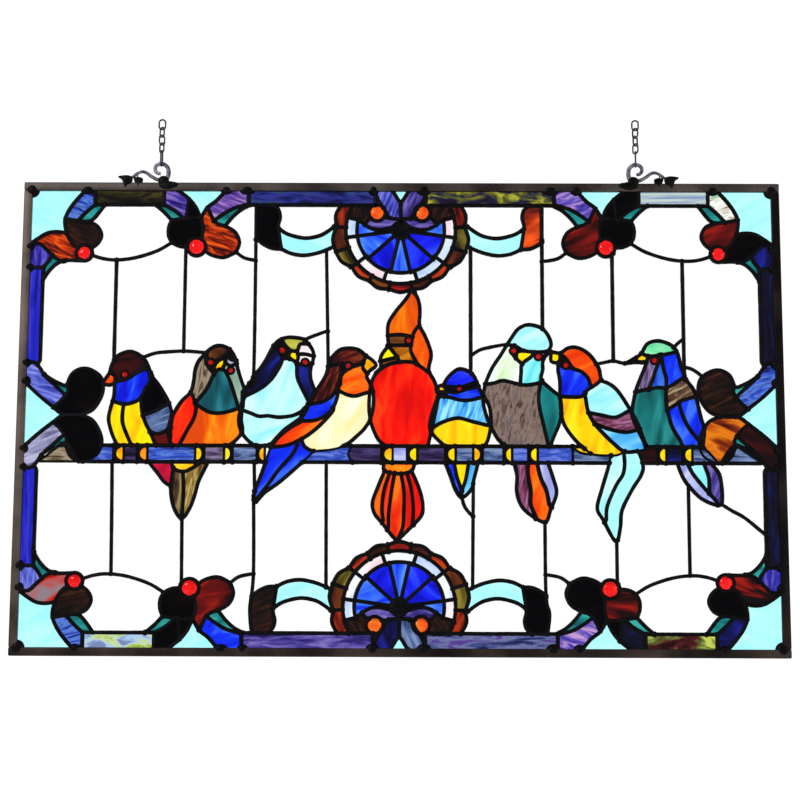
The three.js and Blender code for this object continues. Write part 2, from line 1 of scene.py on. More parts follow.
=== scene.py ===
import math
import random

import bmesh
import bpy
from mathutils import Matrix, Vector, noise
from mathutils.geometry import delaunay_2d_cdt


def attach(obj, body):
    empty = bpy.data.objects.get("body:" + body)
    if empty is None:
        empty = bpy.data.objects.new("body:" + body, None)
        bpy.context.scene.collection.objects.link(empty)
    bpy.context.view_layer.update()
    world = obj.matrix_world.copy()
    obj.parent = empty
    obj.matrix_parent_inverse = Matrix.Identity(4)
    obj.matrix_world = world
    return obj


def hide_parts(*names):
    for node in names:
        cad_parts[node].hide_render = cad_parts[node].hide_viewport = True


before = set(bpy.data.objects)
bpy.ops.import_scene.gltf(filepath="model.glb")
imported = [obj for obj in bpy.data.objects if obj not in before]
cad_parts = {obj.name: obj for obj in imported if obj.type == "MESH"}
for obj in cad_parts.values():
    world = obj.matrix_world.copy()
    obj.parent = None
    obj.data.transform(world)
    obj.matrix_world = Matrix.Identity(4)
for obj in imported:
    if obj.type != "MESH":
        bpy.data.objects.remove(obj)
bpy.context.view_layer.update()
random.seed(20)

# Sizes in millimetres, x to the right and z up from the middle of the panel, front towards -Y
mm = 0.001
panel = {"halfWidth": 406.5, "halfHeight": 254.0, "frameFace": 9.0, "frameDepth": 7.4, "hang": 324.0}
sheet = {"thickness": 3.0, "gap": 0.35, "curveStep": 3.0, "snap": 5.5, "merge": 0.4, "smallest": 12.0,
         "grainShift": 9}
bead = {"width": 4.8, "fieldWidth": 4.5, "footWidth": 3.0, "depth": 5.0, "unevenness": 0.07, "puddle": 1.22}
beadWaves = ((0.09, 1.0, 0), (0.31, 0.6, 4))
jewel = {"rim": 1.9, "overlap": 0.6, "set": -0.4, "dome": 0.42}
eye = {"overlap": 0.4, "dome": 0.85, "ring": 0.9, "ringWire": 1.1, "ringSet": -1.0}
barEdge = 229.5
sideEdge = 383.5
branchTop = -32.5
branchBottom = -50.0


def place(x, z, y=0.0):
    return Vector((x * mm, y * mm, (z - panel["hang"]) * mm))


def mirrored(lines, sideways, upward):
    return [[(sideways * x, upward * z) for x, z in line] for line in lines]


# Border, drawn once for the upper right quarter
borderLines = [
    [(339, 247), (349, 236), (357.5, 224), (362, 212), (360, 198)],
    [(360, 198), (370, 199.5), (380, 198), (390, 192), (400, 184.5)],
    [(329.5, 230), (340, 220.5), (348, 211.5)],
    [(319, 229.5), (326, 220), (332, 213), (337, 210.5)],
    [(337, 210.5), (348, 211.5), (361.5, 214)],
    [(337, 210.5), (327, 206), (322, 196), (325.5, 187), (334, 180)],
    [(360, 198), (354.5, 188), (348.5, 182)],
    [(399, 185.5), (388, 186), (380, 179), (370, 170), (360, 166.5)],
    [(383.5, 160), (377.5, 168), (374.5, 173.5)],
    [(383.5, 146), (376.5, 157), (367, 165.5), (356, 168), (344, 167.5)],
    [(383.5, 160), (401, 160)],
    [(334, 174.5), (320, 170), (305, 168.5), (285, 171), (262, 178.5), (246, 188)],
    [(265, 229.5), (256, 222), (247, 212.5)],
    [(247, 212.5), (250, 204.5), (249.8, 195), (245.5, 187.5), (237.5, 183.6), (229.5, 183)],
    [(241, 246), (230, 237.5), (221.5, 227.5), (215.8, 215)],
    [(215.8, 215), (208.5, 227), (199, 234.5), (189, 246)],
    [(256, 230), (243, 222.5), (232.5, 213)],
    [(229, 236.5), (230.5, 222), (232, 213)],
    [(215.8, 215), (224, 215.5), (234, 214.3), (247, 212.5)],
    [(215.8, 215), (213, 204), (214.5, 192)],
    [(164.5, 230.5), (181, 225.5), (193, 218.5), (201.5, 212)],
    [(208.5, 226.5), (205, 219), (201.5, 212), (196, 208)],
    [(163, 229), (172, 224.5), (181, 216.5), (189.5, 206)],
    [(196, 208), (188, 205.5), (178, 199), (173.5, 188), (177, 177.5)],
    [(211, 179), (203, 174), (190, 171.5), (177, 177.5)],
    [(177, 177.5), (168, 171), (154, 168)],
    [(154.5, 191.5), (147, 185.5), (138, 181.5), (128.5, 181)],
    [(138, 229.5), (132, 224.5), (130, 216), (132, 207), (131, 197), (128.5, 181)],
    [(131.8, 204), (122, 197.5), (105, 193.2), (92, 194.5), (82, 198.5), (69, 208)],
    [(128.5, 181), (118, 176), (104, 174), (90, 176.5), (79, 180.5), (70, 185)],
    [(27, barEdge), (164.5, barEdge)],
    [(255.5, barEdge), (330, barEdge)],
    [(330, barEdge), (330, 246)],
    [(255.5, barEdge), (255.5, 246)],
    [(164.5, barEdge), (164.5, 246)],
    [(sideEdge, 160), (sideEdge, 56)],
    [(400, 56.5), (388, 55.5), (377, 41), (364, 29), (355.5, 21)],
    [(400, 36), (384, 21), (369, 9), (357, 0.5), (339, 0)],
    [(355.5, 21), (361, 14), (368, 8)],
    [(379, 43.5), (368, 36.5), (357, 31.5), (354, 32.5)],
    [(354, 32.5), (352.5, 26), (355.5, 21)],
    [(354, 32.5), (350, 43), (343, 48.5), (335, 50), (326, 47), (318, 40), (315.5, 28), (319, 16), (327, 5),
     (339, 0)],
]
borderJewels = {"cornerJewel": (340, 176, 6.8), "middleJewel": (219.5, 183, 8.0)}

# Where each piece of the border's glass is, then what it is made of in each quarter
borderPieces = {
    "corner": (385, 225), "armA": (341, 230), "tealA": (330, 219.5), "topBar": (290, 238),
    "armC": (243, 233), "tealC": (246, 217.5), "darkC": (225, 226), "lobe1": (342, 195),
    "lobe2": (372, 185), "armB": (390, 172), "tealB": (376.5, 163), "sideBar": (391, 100),
    "lobe3": (232, 200), "aquaTip": (215, 235), "armD": (185, 236), "tealD": (186, 216),
    "lobe4": (195, 190), "longBar": (100, 238), "lobe5": (144, 205), "crescent": (100, 184),
    "sideArm": (376, 30), "sideTeal": (366, 33), "sideLobe": (335, 25), "sideTip": (392, 4),
}
everyQuarter = {
    "corner": "aqua", "tealA": "teal", "tealC": "teal", "darkC": "black", "tealB": "teal",
    "aquaTip": "aqua", "tealD": "teal", "crescent": "aqua", "sideTeal": "teal", "sideTip": "aqua",
}
quarterGlass = {
    (-1, 1): {
        "armA": "midBlue", "topBar": "darkOlive", "armC": "violet", "lobe1": "brownBlack",
        "lobe2": "emberStreak", "armB": "indigo", "sideBar": "royalStreak", "lobe3": "black",
        "armD": "purpleStreak", "lobe4": "emberStreak", "longBar": "navyGreen", "lobe5": "black",
        "sideArm": "lavenderBlue", "sideLobe": "black",
    },
    (1, 1): {
        "armA": "iridescent", "topBar": "paleGreyBlue", "armC": "black", "lobe1": "darkRed",
        "lobe2": "black", "armB": "navy", "sideBar": "navyBlack", "lobe3": "black", "armD": "violetWhite",
        "lobe4": "darkRed", "longBar": "oliveMaroon", "lobe5": "orangeDark", "sideArm": "midBlue",
        "sideLobe": "brownBlack",
    },
    (-1, -1): {
        "armA": "midBlue", "topBar": "skyOlive", "armC": "black", "lobe1": "brownBlack", "lobe2": "redGrey",
        "armB": "lavenderBlue", "sideBar": "royalStreak", "lobe3": "black", "armD": "brightBlue",
        "lobe4": "darkRed", "longBar": "lavenderPurple", "lobe5": "brownBlack", "sideArm": "lavenderGrey",
        "sideLobe": "black",
    },
    (1, -1): {
        "armA": "navy", "topBar": "maroonGreen", "armC": "navyBlack", "lobe1": "black", "lobe2": "blackRed",
        "armB": "indigo", "sideBar": "navyBlack", "lobe3": "darkRed", "armD": "violetWhite",
        "lobe4": "black", "longBar": "purpleGrey", "lobe5": "black", "sideArm": "maroon",
        "sideLobe": "orangeBrown",
    },
}

# Medallion, drawn for the top one: fans round a hub, a white ring, a scalloped brown ring and leaves
medallion = {"x": -0.5, "z": 202.0, "hub": 9.0, "fan": 47.0, "ring": 58.8, "edge": 71.5, "reach": 104,
             "ringReach": 111, "fanMiddle": 30, "whiteMiddle": 53}
fanAngles = (-82, -48, -13, 13, 48, 82)
ringAngles = (-82, -52, -18, 18, 52, 82)
scallopAngles = (-93, -71, -52, -31, -11, 11, 31, 52, 71, 93)
scallopNotches = [(113, 70.0), (93, 69.0), (71, 73.5), (52, 66.3), (31, 65.0), (11, 66.0)]
scallopBulge = 2.4
medallionLeaves = [
    [(56.9, 216), (54, 223), (52, 229.5)],
    [(-57.9, 216), (-55, 223), (-53, 229.5)],
    [(27, 246), (24, 236), (16.5, 224), (11, 215.5), (0, 214.5)],
    [(8.5, 246), (3, 237), (-0.5, 230), (-0.5, 209)],
    [(10.5, 215.3), (13.5, 216), (16, 215)],
    [(30, 216), (34.5, 213.5), (38, 208)],
    [(38, 208), (30, 203.5), (20, 202.5), (8, 205.5)],
]


def polar(angle, radius):
    turn = math.radians(angle)
    return (medallion["x"] + radius * math.sin(turn), medallion["z"] - radius * math.cos(turn))


def arc(radius, start, end, step=6):
    count = max(2, round(abs(end - start) / step))
    return [polar(start + (end - start) * i / count, radius) for i in range(count + 1)]


def scallopedEdge():
    notches = scallopNotches + [(-angle, radius) for angle, radius in reversed(scallopNotches)]
    lines = []
    for (a, low), (b, high) in zip(notches, notches[1:]):
        peak = polar((a + b) / 2, (low + high) / 2 + scallopBulge)
        lines.append([polar(a, low), peak, polar(b, high)])
    return lines


def medallionLines():
    reach = medallion["reach"]
    lines = [arc(medallion["fan"], -reach, reach)]
    lines.append(arc(medallion["ring"], -medallion["ringReach"], medallion["ringReach"]))
    lines += [[polar(a, medallion["hub"]), polar(a, medallion["fan"])] for a in fanAngles]
    lines += [[polar(a, medallion["fan"]), polar(a, medallion["ring"])] for a in ringAngles]
    lines += [[polar(a, medallion["ring"]), polar(a, medallion["edge"])] for a in scallopAngles]
    lines.append(arc(medallion["hub"], 0, 360, 24))
    lines += scallopedEdge()
    for side in (-1, 1):
        middle = medallion["x"]
        lines += [[(middle + side * (x + 0.5), z) for x, z in leaf] for leaf in medallionLeaves]
        lines.append([polar(side * reach, medallion["fan"]), (middle + side * 38.5, 208)])
        lines.append([(middle + side * 27, 246), (middle + side * 27, barEdge)])
        lines.append([polar(side * reach, medallion["fan"]), polar(side * reach, medallion["ring"])])
    return lines


# Birds: lines of solder, then where each piece of glass is, what it is made of and how its grain runs
birds = {
    "birdMaroonHead": {
        "replaces": ["bird_maroon_head", "tail_crimson"],
        "lines": [
            [(-299, -33), (-305, -20), (-309, -5), (-307, 8), (-304, 20), (-303.5, 34), (-303, 36)],
            [(-303, 36), (-303.5, 42), (-308.5, 46), (-307.5, 53), (-303, 62), (-296, 66.5), (-288, 68.5),
             (-280, 66), (-272.5, 60), (-268, 52), (-264, 42), (-257, 33), (-250, 22), (-245, 12),
             (-242, 0), (-243, -15), (-243, -26)],
            [(-308.5, 46), (-312, 41), (-316, 34), (-309, 32), (-303.5, 34)],
            [(-303, 36), (-291, 38.5), (-281, 45), (-270, 50), (-266.5, 44), (-266.5, 35), (-271, 28),
             (-275, 19), (-281, 14.5), (-293, 11.5), (-305.5, 15)],
            [(-293.5, 11.5), (-294.5, -2), (-293, -12), (-284, -33)],
            [(-275, 19), (-274, 5), (-270, -8), (-265, -18), (-258, -33)],
            [(-272, 0), (-259, 5), (-245, 13)],
            [(-265, -18), (-255, -20), (-243, -13)],
            [(-269.5, 49.8), (-263, 43)],
            [(-265, -51), (-255, -63), (-249, -71), (-240, -77)],
        ],
        "glass": [
            (-290, 58, "maroon", 20), (-287, 28, "brightBlue", 70), (-300, -5, "yellow", 85),
            (-281, -8, "yellow", 80), (-255, 22, "black", 60), (-257, -8, "slateBlue", 20),
            (-255, -27, "darkRed", 0), (-309, 39, "orange", 0), (-250, -58, "crimson", 60),
        ],
        "eyes": [(-293, 43.5, 3.0)],
    },
    "birdTealBib": {
        "replaces": ["bird_teal_bib", "tail_brown"],
        "lines": [
            [(-241, -33), (-245, -22), (-244, -8), (-240, 2), (-232, 15), (-222.5, 25), (-219.5, 38),
             (-218.5, 48), (-215, 58), (-208, 66), (-202, 72), (-195, 75), (-187, 74), (-181, 70),
             (-176, 62), (-173, 50), (-168.5, 36), (-165, 27)],
            [(-168, 27), (-167.5, 12), (-168.5, -5), (-167, -17), (-174, -27), (-182, -33)],
            [(-222, 24), (-218, 15), (-216.5, 7), (-219, -4), (-226, -17), (-234, -33)],
            [(-217, 12), (-203, 3.5), (-189, 2.5), (-173, 7), (-168, 10)],
            [(-217, 14), (-206, 28), (-198, 45), (-193, 49.5), (-187.5, 48.5), (-183, 41), (-178, 28),
             (-172, 9)],
            [(-208, 66), (-203, 59.5), (-195, 59), (-188, 63), (-183, 70)],
            [(-207, 64), (-206.5, 55), (-200.5, 47), (-197, 43)],
            [(-197.5, 43), (-198.5, 48), (-197, 55), (-191, 60.5), (-186, 61), (-187, 55), (-190, 49)],
            [(-187, 57), (-181, 53), (-177, 55)],
            [(-188, 62), (-183, 62), (-178, 58)],
            [(-241, -51), (-239, -57), (-229, -60.5), (-220, -57), (-211, -51)],
            [(-239, -56), (-241.5, -78), (-238, -98), (-229.5, -110), (-221, -99), (-216, -85), (-212, -70),
             (-203, -51)],
            [(-229, -60.5), (-228, -85), (-229.5, -110)],
        ],
        "glass": [
            (-195, 68, "brown", 10), (-200, 54, "solder", 60), (-212, 40, "tan", 80),
            (-192, 25, "tealBib", 80), (-232, -5, "red", 70), (-200, -12, "orangeFlame", 80),
            (-175, 30, "greyGreen", 80), (-225, -55, "amber", 0), (-235, -80, "brownTail", 85),
            (-221, -78, "amberTail", 85), (-192, 54, "yellow", 0), (-182, 56.5, "lavenderGrey", 0),
        ],
        "eyes": [(-202, 57, 3.0), (-180.5, 48, 2.6)],
    },
    "birdPaleBlue": {
        "replaces": ["bird_pale_blue"],
        "lines": [
            [(-153, -33), (-161, -27), (-168, -18), (-171, -6), (-169, 8), (-166, 18), (-165, 27),
             (-158, 38), (-153, 46), (-148, 52), (-142, 62), (-137, 72), (-131, 80), (-122, 84),
             (-112, 84), (-103, 82), (-98, 77), (-93.5, 70), (-92.5, 63), (-95.5, 50), (-95.5, 40),
             (-91, 24), (-96, 14), (-101, 3), (-106, -3), (-121, -14), (-130, -23), (-136, -30),
             (-141, -33)],
            [(-169, 6), (-159, 2.5), (-150, -1), (-140, -0.5), (-128, -2), (-112, 0.5), (-100, 8)],
            [(-166, 20), (-150, 28), (-139, 37), (-130.5, 49), (-126, 61), (-131, 72)],
            [(-126, 61), (-118, 61), (-111, 56), (-110, 43), (-107, 34), (-97, 14)],
            [(-111, 56), (-98, 54), (-94, 56)],
            [(-125, 78), (-117, 70), (-110, 70), (-107, 77), (-98, 77)],
            [(-117, 70), (-119, 65), (-118, 61)],
            [(-110, 70), (-109, 62), (-111, 56)],
            [(-109, 66), (-101, 66), (-93, 64)],
        ],
        "glass": [
            (-115, 80, "olive", 0), (-125, 68, "solder", 60), (-102, 73, "whitePink", 20),
            (-103, 61, "whitePink", 0), (-114, 66, "yellow", 0), (-146, 43, "navy", 50),
            (-102, 38, "navy", 70), (-120, 30, "palestBlue", 70), (-140, -15, "palestBlue", 20),
        ],
        "eyes": [(-126, 70, 3.2), (-101.5, 57, 3.0)],
    },
    "birdCreamBelly": {
        "replaces": ["bird_cream_belly"],
        "lines": [
            [(-92, 23), (-86, 32), (-80, 42), (-77, 52), (-75, 60), (-66, 70), (-58, 72.5), (-50, 72.5),
             (-43, 70), (-37, 64.5), (-31, 60.5), (-26, 54), (-33, 48), (-36, 42), (-30, 30),
             (-28.5, 20), (-29, 8), (-32, -4), (-38, -14), (-46, -22), (-54, -29), (-62, -33)],
            [(-77, 53), (-61, 56), (-52, 53.5), (-45, 54.5), (-40, 57), (-37, 64)],
            [(-40, 57), (-40, 51), (-35, 45)],
            [(-64, 31), (-63, 43), (-56, 50), (-46, 55)],
            [(-66, 28), (-65, 38), (-63, 48), (-64, 55)],
            [(-66, 27), (-57, 22.5), (-48, 21), (-38, 24), (-30, 26)],
            [(-92, 23), (-98, 12), (-105, 2), (-105, -6), (-113, -11), (-123, -18), (-131, -26),
             (-137, -34)],
            [(-98, 12), (-85, 14), (-75, 19), (-68, 27)],
            [(-105, -6), (-90, -5), (-78, 1), (-71, 9), (-67, 20), (-66, 27)],
            [(-137, -34), (-120, -32), (-104, -25), (-90, -15), (-77, -2), (-70, 7)],
            [(-104, -25), (-102, -32), (-94, -37.5), (-82, -37.5), (-70, -36), (-60, -33)],
            [(-137, -34), (-146, -62), (-154, -84), (-152, -92), (-142, -82), (-128, -72), (-112, -58),
             (-98, -45), (-91, -38)],
            [(-108, -30), (-115, -43), (-128, -58), (-140, -75), (-152, -91)],
        ],
        "glass": [
            (-57, 63, "maroonBrown", 20), (-50, 40, "orange", 20), (-71, 42, "maroonBrown", 60),
            (-60.4, 49.2, "solder", 0), (-85, 5, "brightBlue", 20), (-105, -17, "orangeRed", 30),
            (-50, -5, "cream", 60), (-137, -60, "brightBlue", 55), (-108, -48, "brightBlue", 55),
            (-33, 55, "amber", 0),
        ],
        "eyes": [(-55.4, 53.5, 3.0)],
    },
    "birdRedBreast": {
        "replaces": ["bird_red_breast", "tail_orange_fan"],
        "lines": [
            [(-14, -33), (-23, -26), (-30, -11), (-33, 4), (-33, 20), (-31, 35), (-26, 46), (-21, 52),
             (-21.5, 62), (-18, 69), (-13.5, 76), (-14, 88), (-13, 100), (-6, 112), (2, 122), (8, 130),
             (12, 136), (18.5, 126), (20.5, 113), (20, 98), (25, 88), (30, 76), (32.5, 65), (30, 49),
             (36, 37), (40, 22), (37, 4), (33, -15), (29, -33)],
            [(-26, 46), (-15, 54), (0, 58), (14, 57), (24, 51), (30, 46)],
            [(-14, 86.5), (0, 87.5), (13, 85)],
            [(20, 98), (14, 90), (11.5, 78), (11, 69), (18, 56)],
            [(-13.5, 76), (0, 76), (11.5, 76)],
            [(-13, 75), (-5, 65), (-1, 58)],
            [(-20, 59), (-12, 61), (-4, 63)],
            [(-17, -51), (-16.5, -59), (0, -62), (12, -59), (15, -51)],
            [(-16.5, -59), (-23, -75), (-29, -92), (-27, -104), (-19, -114), (-8, -128), (-3, -133)],
            [(12, -59), (17, -70), (22, -84), (24, -97), (22, -107), (10, -120), (-3, -133)],
            [(-11, -61), (-17, -80), (-19, -100), (-17, -113)],
            [(-6, -62), (-9, -80), (-12, -105), (-12, -120)],
            [(1, -63), (4, -80), (4, -100), (3, -118), (-2, -131)],
            [(7, -61), (12, -80), (14, -100), (13, -115)],
        ],
        "glass": [
            (4, 105, "orangeFlame", 80), (0, 81.5, "brown", 0), (-15, 67, "yellow", 60),
            (5, 67, "amberBrown", 20), (-12, 57, "brown", 0), (22, 72, "orange", 70),
            (3, 15, "red", 85), (-21, -85, "orange", 75), (-13, -85, "red", 80),
            (-3, -90, "orangeRed", 85), (8, -85, "redAmber", 85), (17, -85, "red", 80),
            (-1, -56, "orangeFlame", 0),
        ],
        "eyes": [(8.5, 81, 2.7)],
    },
    "birdBlueCap": {
        "replaces": ["bird_blue_cap", "tail_blue_yellow"],
        "lines": [
            [(48, -33), (40, -26), (33, -18), (31, -10), (34, 4), (40, 20), (46, 21), (49, 27), (46, 33),
             (50, 41), (56, 47), (62, 50.5), (70, 49), (77, 44), (81, 36), (86, 24), (93, 13),
             (95.5, 2), (95.5, -12), (92, -27), (88, -33)],
            [(46, 33), (41, 32), (38, 26), (46, 26)],
            [(47, 32), (55, 31), (64, 31), (79, 36)],
            [(49, 27), (57, 25), (64, 26.5), (71, 29), (81, 31)],
            [(46, 21), (54, 19.5), (63, 17), (74, 17), (84, 19.5), (88, 20)],
            [(33, -14), (42, -8), (54, -3.5), (63, -2.5), (76, -6), (94, -10.5)],
            [(48, -51), (53, -64), (58, -78), (65, -87), (75, -78), (78, -66), (82, -51)],
            [(57, -51), (60, -66), (65, -80)],
            [(72, -51), (69, -68), (65, -80), (65, -87)],
        ],
        "glass": [
            (65, 40, "cobalt", 0), (62, 29, "solder", 0), (66, 22, "brightBlue", 0),
            (63, 7, "skyStreak", 70), (63, -18, "yellowOrange", 85), (43, 29, "yellow", 0),
            (55, -64, "brightBlue", 80), (64, -60, "yellow", 85), (74, -60, "skyBlue", 80),
            (43.5, 23.6, "solder", 0),
        ],
        "eyes": [(62.5, 29, 2.6)],
    },
    "birdBrownBack": {
        "replaces": ["bird_brown_back", "tail_orange_mauve"],
        "lines": [
            [(113, -33), (104, -26), (96, -12), (91, 0), (87.5, 16), (89, 30), (92, 40), (98, 53),
             (106, 65), (112, 75), (119, 86), (125, 94), (134, 98.5), (144, 97.5), (152, 93.5),
             (158, 85), (160, 76), (155.5, 68), (151, 58), (151, 50), (149, 40), (155, 33), (163, 26),
             (169, 20), (170.5, 5), (168, -8), (163, -20), (158, -33)],
            [(114, 76), (121, 76), (131, 70.5), (145, 69), (156, 70)],
            [(91, 34), (100, 35.5), (109, 38), (127, 34), (136, 33.5), (149, 36)],
            [(127, 34), (128, 47), (129, 56), (139, 64), (142, 69)],
            [(129, 56), (119, 67), (121, 76)],
            [(131, 70.5), (124, 69), (123, 63)],
            [(149, 38), (146.5, 22), (147.5, 8), (151, -8), (156, -30)],
            [(120, -51), (123, -64), (122.5, -80), (126, -93), (134, -103), (148, -112), (154, -112),
             (158, -100), (164.5, -82), (161, -66), (156, -51)],
            [(135, -51), (134.5, -62), (137.5, -80), (137, -93), (143, -108)],
            [(144.5, -51), (148, -66), (154, -80), (157, -96)],
        ],
        "glass": [
            (139, 84, "palestBlue", 30), (112, 52, "greenWhite", 60), (140, 48, "aquaMid", 70),
            (120, 0, "brownGrey", 80), (160, 5, "teal", 85), (130, 64, "yellow", 0),
            (129, -75, "mauve", 85), (143, -80, "orange", 80), (154, -68, "lavender", 80),
        ],
        "eyes": [(120, 70, 3.0), (146.5, 64, 3.0)],
    },
    "birdYellowBelly": {
        "replaces": ["bird_yellow_belly"],
        "lines": [
            [(153, 66), (160, 69), (170, 68), (176, 72.5), (184, 74.5), (193, 72), (201, 66), (207, 58),
             (211, 50), (213, 39), (218, 36.5), (225, 32.5), (232, 25), (242, 9), (250, -6),
             (256, -22), (260, -35)],
            [(160, 68), (160, 59), (168, 58), (170, 67)],
            [(168, 58), (167, 50), (169, 38), (169, 21), (171, -2), (176, -14), (186, -27), (196, -36),
             (204, -41), (222, -42)],
            [(172, 66), (178, 59), (183, 51.5), (192, 48), (199, 41), (203, 32), (213, 39)],
            [(168, 55), (178, 52.5), (183, 51.5)],
            [(203, 32), (197, 27), (191, 21), (169, 21)],
            [(195, 25), (196, 20), (199, 4), (206, -9), (214, -18), (224, -28), (236, -37.5), (248, -37.5),
             (260, -35)],
            [(199, 4), (214, 1), (228, -1), (243, 7)],
            [(206, -8), (220, -13.5), (238, -17), (252, -14)],
            [(220, -42), (229, -41.5), (237, -37.5)],
            [(222, -42), (219, -55), (212, -78), (207, -98), (213, -110), (226, -133), (231, -118),
             (233, -100), (244, -78), (253, -64), (256, -54), (253, -44), (250, -37)],
            [(235.5, -38), (236.5, -50), (234.5, -62), (227, -74), (217.5, -96), (216.5, -112)],
        ],
        "glass": [
            (193, 60, "orange", 30), (182, 38, "brightBlue", 60), (185, -5, "yellowOrange", 80),
            (215, 18, "palestBlue", 30), (222, -8, "mauve", 10), (235, -25, "skyBlue", 10),
            (226, -65, "palestBlue", 70), (243, -60, "aqua", 70), (164, 63, "yellow", 0),
            (174, 60, "solder", 0),
        ],
        "eyes": [(175.5, 54.5, 3.0)],
    },
    "birdGreenCap": {
        "replaces": ["bird_green_cap", "tail_lavender"],
        "lines": [
            [(260, -33), (249, -10), (245, 4), (249, 26), (254, 40), (259, 52), (261, 58)],
            [(261, 58), (248, 60.5), (256, 68), (262, 78), (272, 81.5), (281, 80), (289, 76), (294, 69),
             (297, 57),
             (300, 47), (304, 38), (311, 28), (315, 12), (318, -2), (321, -14), (319, -33)],
            [(256, 68), (263, 65), (272, 65.5), (287, 68), (293, 70)],
            [(263, 65), (261, 58)],
            [(250, 26), (256, 28), (263, 29), (272, 31), (281, 30.5)],
            [(263, 29), (267, 38), (270, 48), (274, 58), (275, 65)],
            [(277, 66), (279, 52), (282, 40), (281.5, 30), (281.5, 14), (284, 0), (288, -13), (295, -25),
             (298, -33)],
            [(281.5, 30), (290, 35), (299, 41), (303, 40)],
            [(281, 6), (289, 11), (298, 17), (311, 21)],
            [(295, 14), (299, 0), (306, -14), (317, -28)],
            [(292, -51), (298, -66), (306, -77), (316, -87), (328, -93), (337, -94), (338.5, -82),
             (336, -62), (328, -51)],
            [(303, -51), (308, -61), (318, -74), (325, -82), (334, -92)],
            [(320, -51), (324.5, -64), (325, -76), (325, -82)],
        ],
        "glass": [
            (276, 73, "greenCap", 0), (264, 46, "brownLavender", 80), (273, 42, "cobaltLight", 80),
            (288, 52, "brightBlue", 80), (266, 0, "tealDeep", 80), (294, 25, "tanBrown", 30),
            (291, -5, "brightBlue", 70), (307, 0, "brightBlue", 75), (255, 62, "yellow", 0),
            (307, -72, "lavender", 50), (316, -60, "aquaMid", 60), (330, -70, "lavenderPurple", 70),
        ],
        "eyes": [(269.5, 60, 2.8)],
    },
}

# Branch: where it is cut across, and the glass between the cuts with the feet that grip it
branch = {
    "replaces": ["branch_left", "branch_middle", "branch_right"],
    "lines": [
        [(-322, branchTop), (-138, branchTop)],
        [(-383, branchBottom), (-134, branchBottom)],
        [(-62, branchTop), (196, branchTop)],
        [(-104, branchBottom), (222, branchBottom)],
        [(256, branchTop), (322, branchTop)],
        [(253, branchBottom), (383, branchBottom)],
        [(-383, -50), (-374, -44), (-362, -34.5), (-352, -31), (-339, -48)],
        [(383, -50), (373, -43), (362, -35.5), (352, -31), (339, -48)],
        [(-50, -50), (-55, -42), (-52, -33)],
        [(318, -32), (325, -38), (334, -48)],
        [(181, -33), (190, -39), (200, -41)],
    ],
    "cuts": [-303, -292, -278, -267, -216.5, -207, -186, -177, -151.5, -143, -20, -8, 7, 18, 47.5, 58.5, 77,
             87, 109, 118, 135, 145, 182, 271, 280.5, 297.5, 308],
    "feet": [(-303, -292, -1), (-278, -267, -1), (-216.5, -207, 1), (-186, -177, 1), (-151.5, -143, -1),
             (-20, -8, -1), (7, 18, -1), (47.5, 58.5, -1), (77, 87, 1), (109, 118, -1), (135, 145, -1),
             (271, 280.5, -1), (297.5, 308, -1)],
    "glass": [
        (-315, "branchBlue"), (-297.5, "yellowOrange"), (-285, "branchPurple"), (-272, "orangeFlame"),
        (-240, "midBlue"), (-211.5, "yellow"), (-196, "maroonLavender"), (-181.5, "yellow"),
        (-165, "slateBlue"), (-147, "amber"), (-75, "branchBlue"), (-36, "branchPurple"),
        (-14, "amber"), (0, "lavender"), (12.5, "yellow"), (33, "branchPurple"), (53, "yellow"),
        (68, "slateBlue"), (82, "amber"), (98, "slateBlue"), (113.5, "yellow"), (126, "branchBlue"),
        (140, "yellow"), (163, "branchBlue"), (262, "maroon"), (275.5, "yellow"), (288, "navy"),
        (302.5, "yellowOrange"), (316, "slateBlue"),
    ],
}

# A foot is a D: how far its round side reaches as shares of its width, and where it leaves the flat side
foot = {"peak": 0.82, "side": 0.66, "heel": 1.2, "inset": 3.6}

# Lines across the clear glass
fieldLines = [
    [(-305, 168.5), (-305, 60)],
    [(-231, 184), (-231, 69)],
    [(-156, 229), (-156, 48), (-160, 34)],
    [(-80, 181), (-77, 57)],
    [(74.5, 184), (74.5, 44)],
    [(151, 229), (151, 94)],
    [(226, 184), (226, 59)],
    [(301, 168.5), (301, 38)],
    [(-274, 62), (-262, 66.5), (-250, 68), (-231, 69), (-215, 68), (-207, 67)],
    [(-104, 81), (-95, 85), (-79, 91)],
    [(75, 65), (84, 71), (95, 74), (108, 76.5), (115, 77)],
    [(208, 56), (217, 58), (226, 59.5), (238, 57), (250, 58), (258, 57)],
    [(238, 57), (244, 60), (250, 64)],
    [(290, 74), (295, 79), (301, 84)],
    [(301, 53), (309, 51), (318, 45)],
    [(-304, -50), (-303, -100), (-302, -168)],
    [(-229, -109), (-228, -184)],
    [(-154, -90), (-153, -168), (-156, -205), (-154, -229)],
    [(-154, -50), (-153, -86)],
    [(-78, -50), (-77, -182)],
    [(77, -72), (76, -184)],
    [(152, -111), (152.5, -190), (156, -208), (154, -229)],
    [(227, -131), (227, -184)],
    [(303, -74), (303, -100), (303, -168)],
    [(65, -87), (68, -97), (76, -107)],
    [(337, -93), (348, -100), (362, -108), (383.5, -126)],
]
print("sizes, lines and pieces are set")


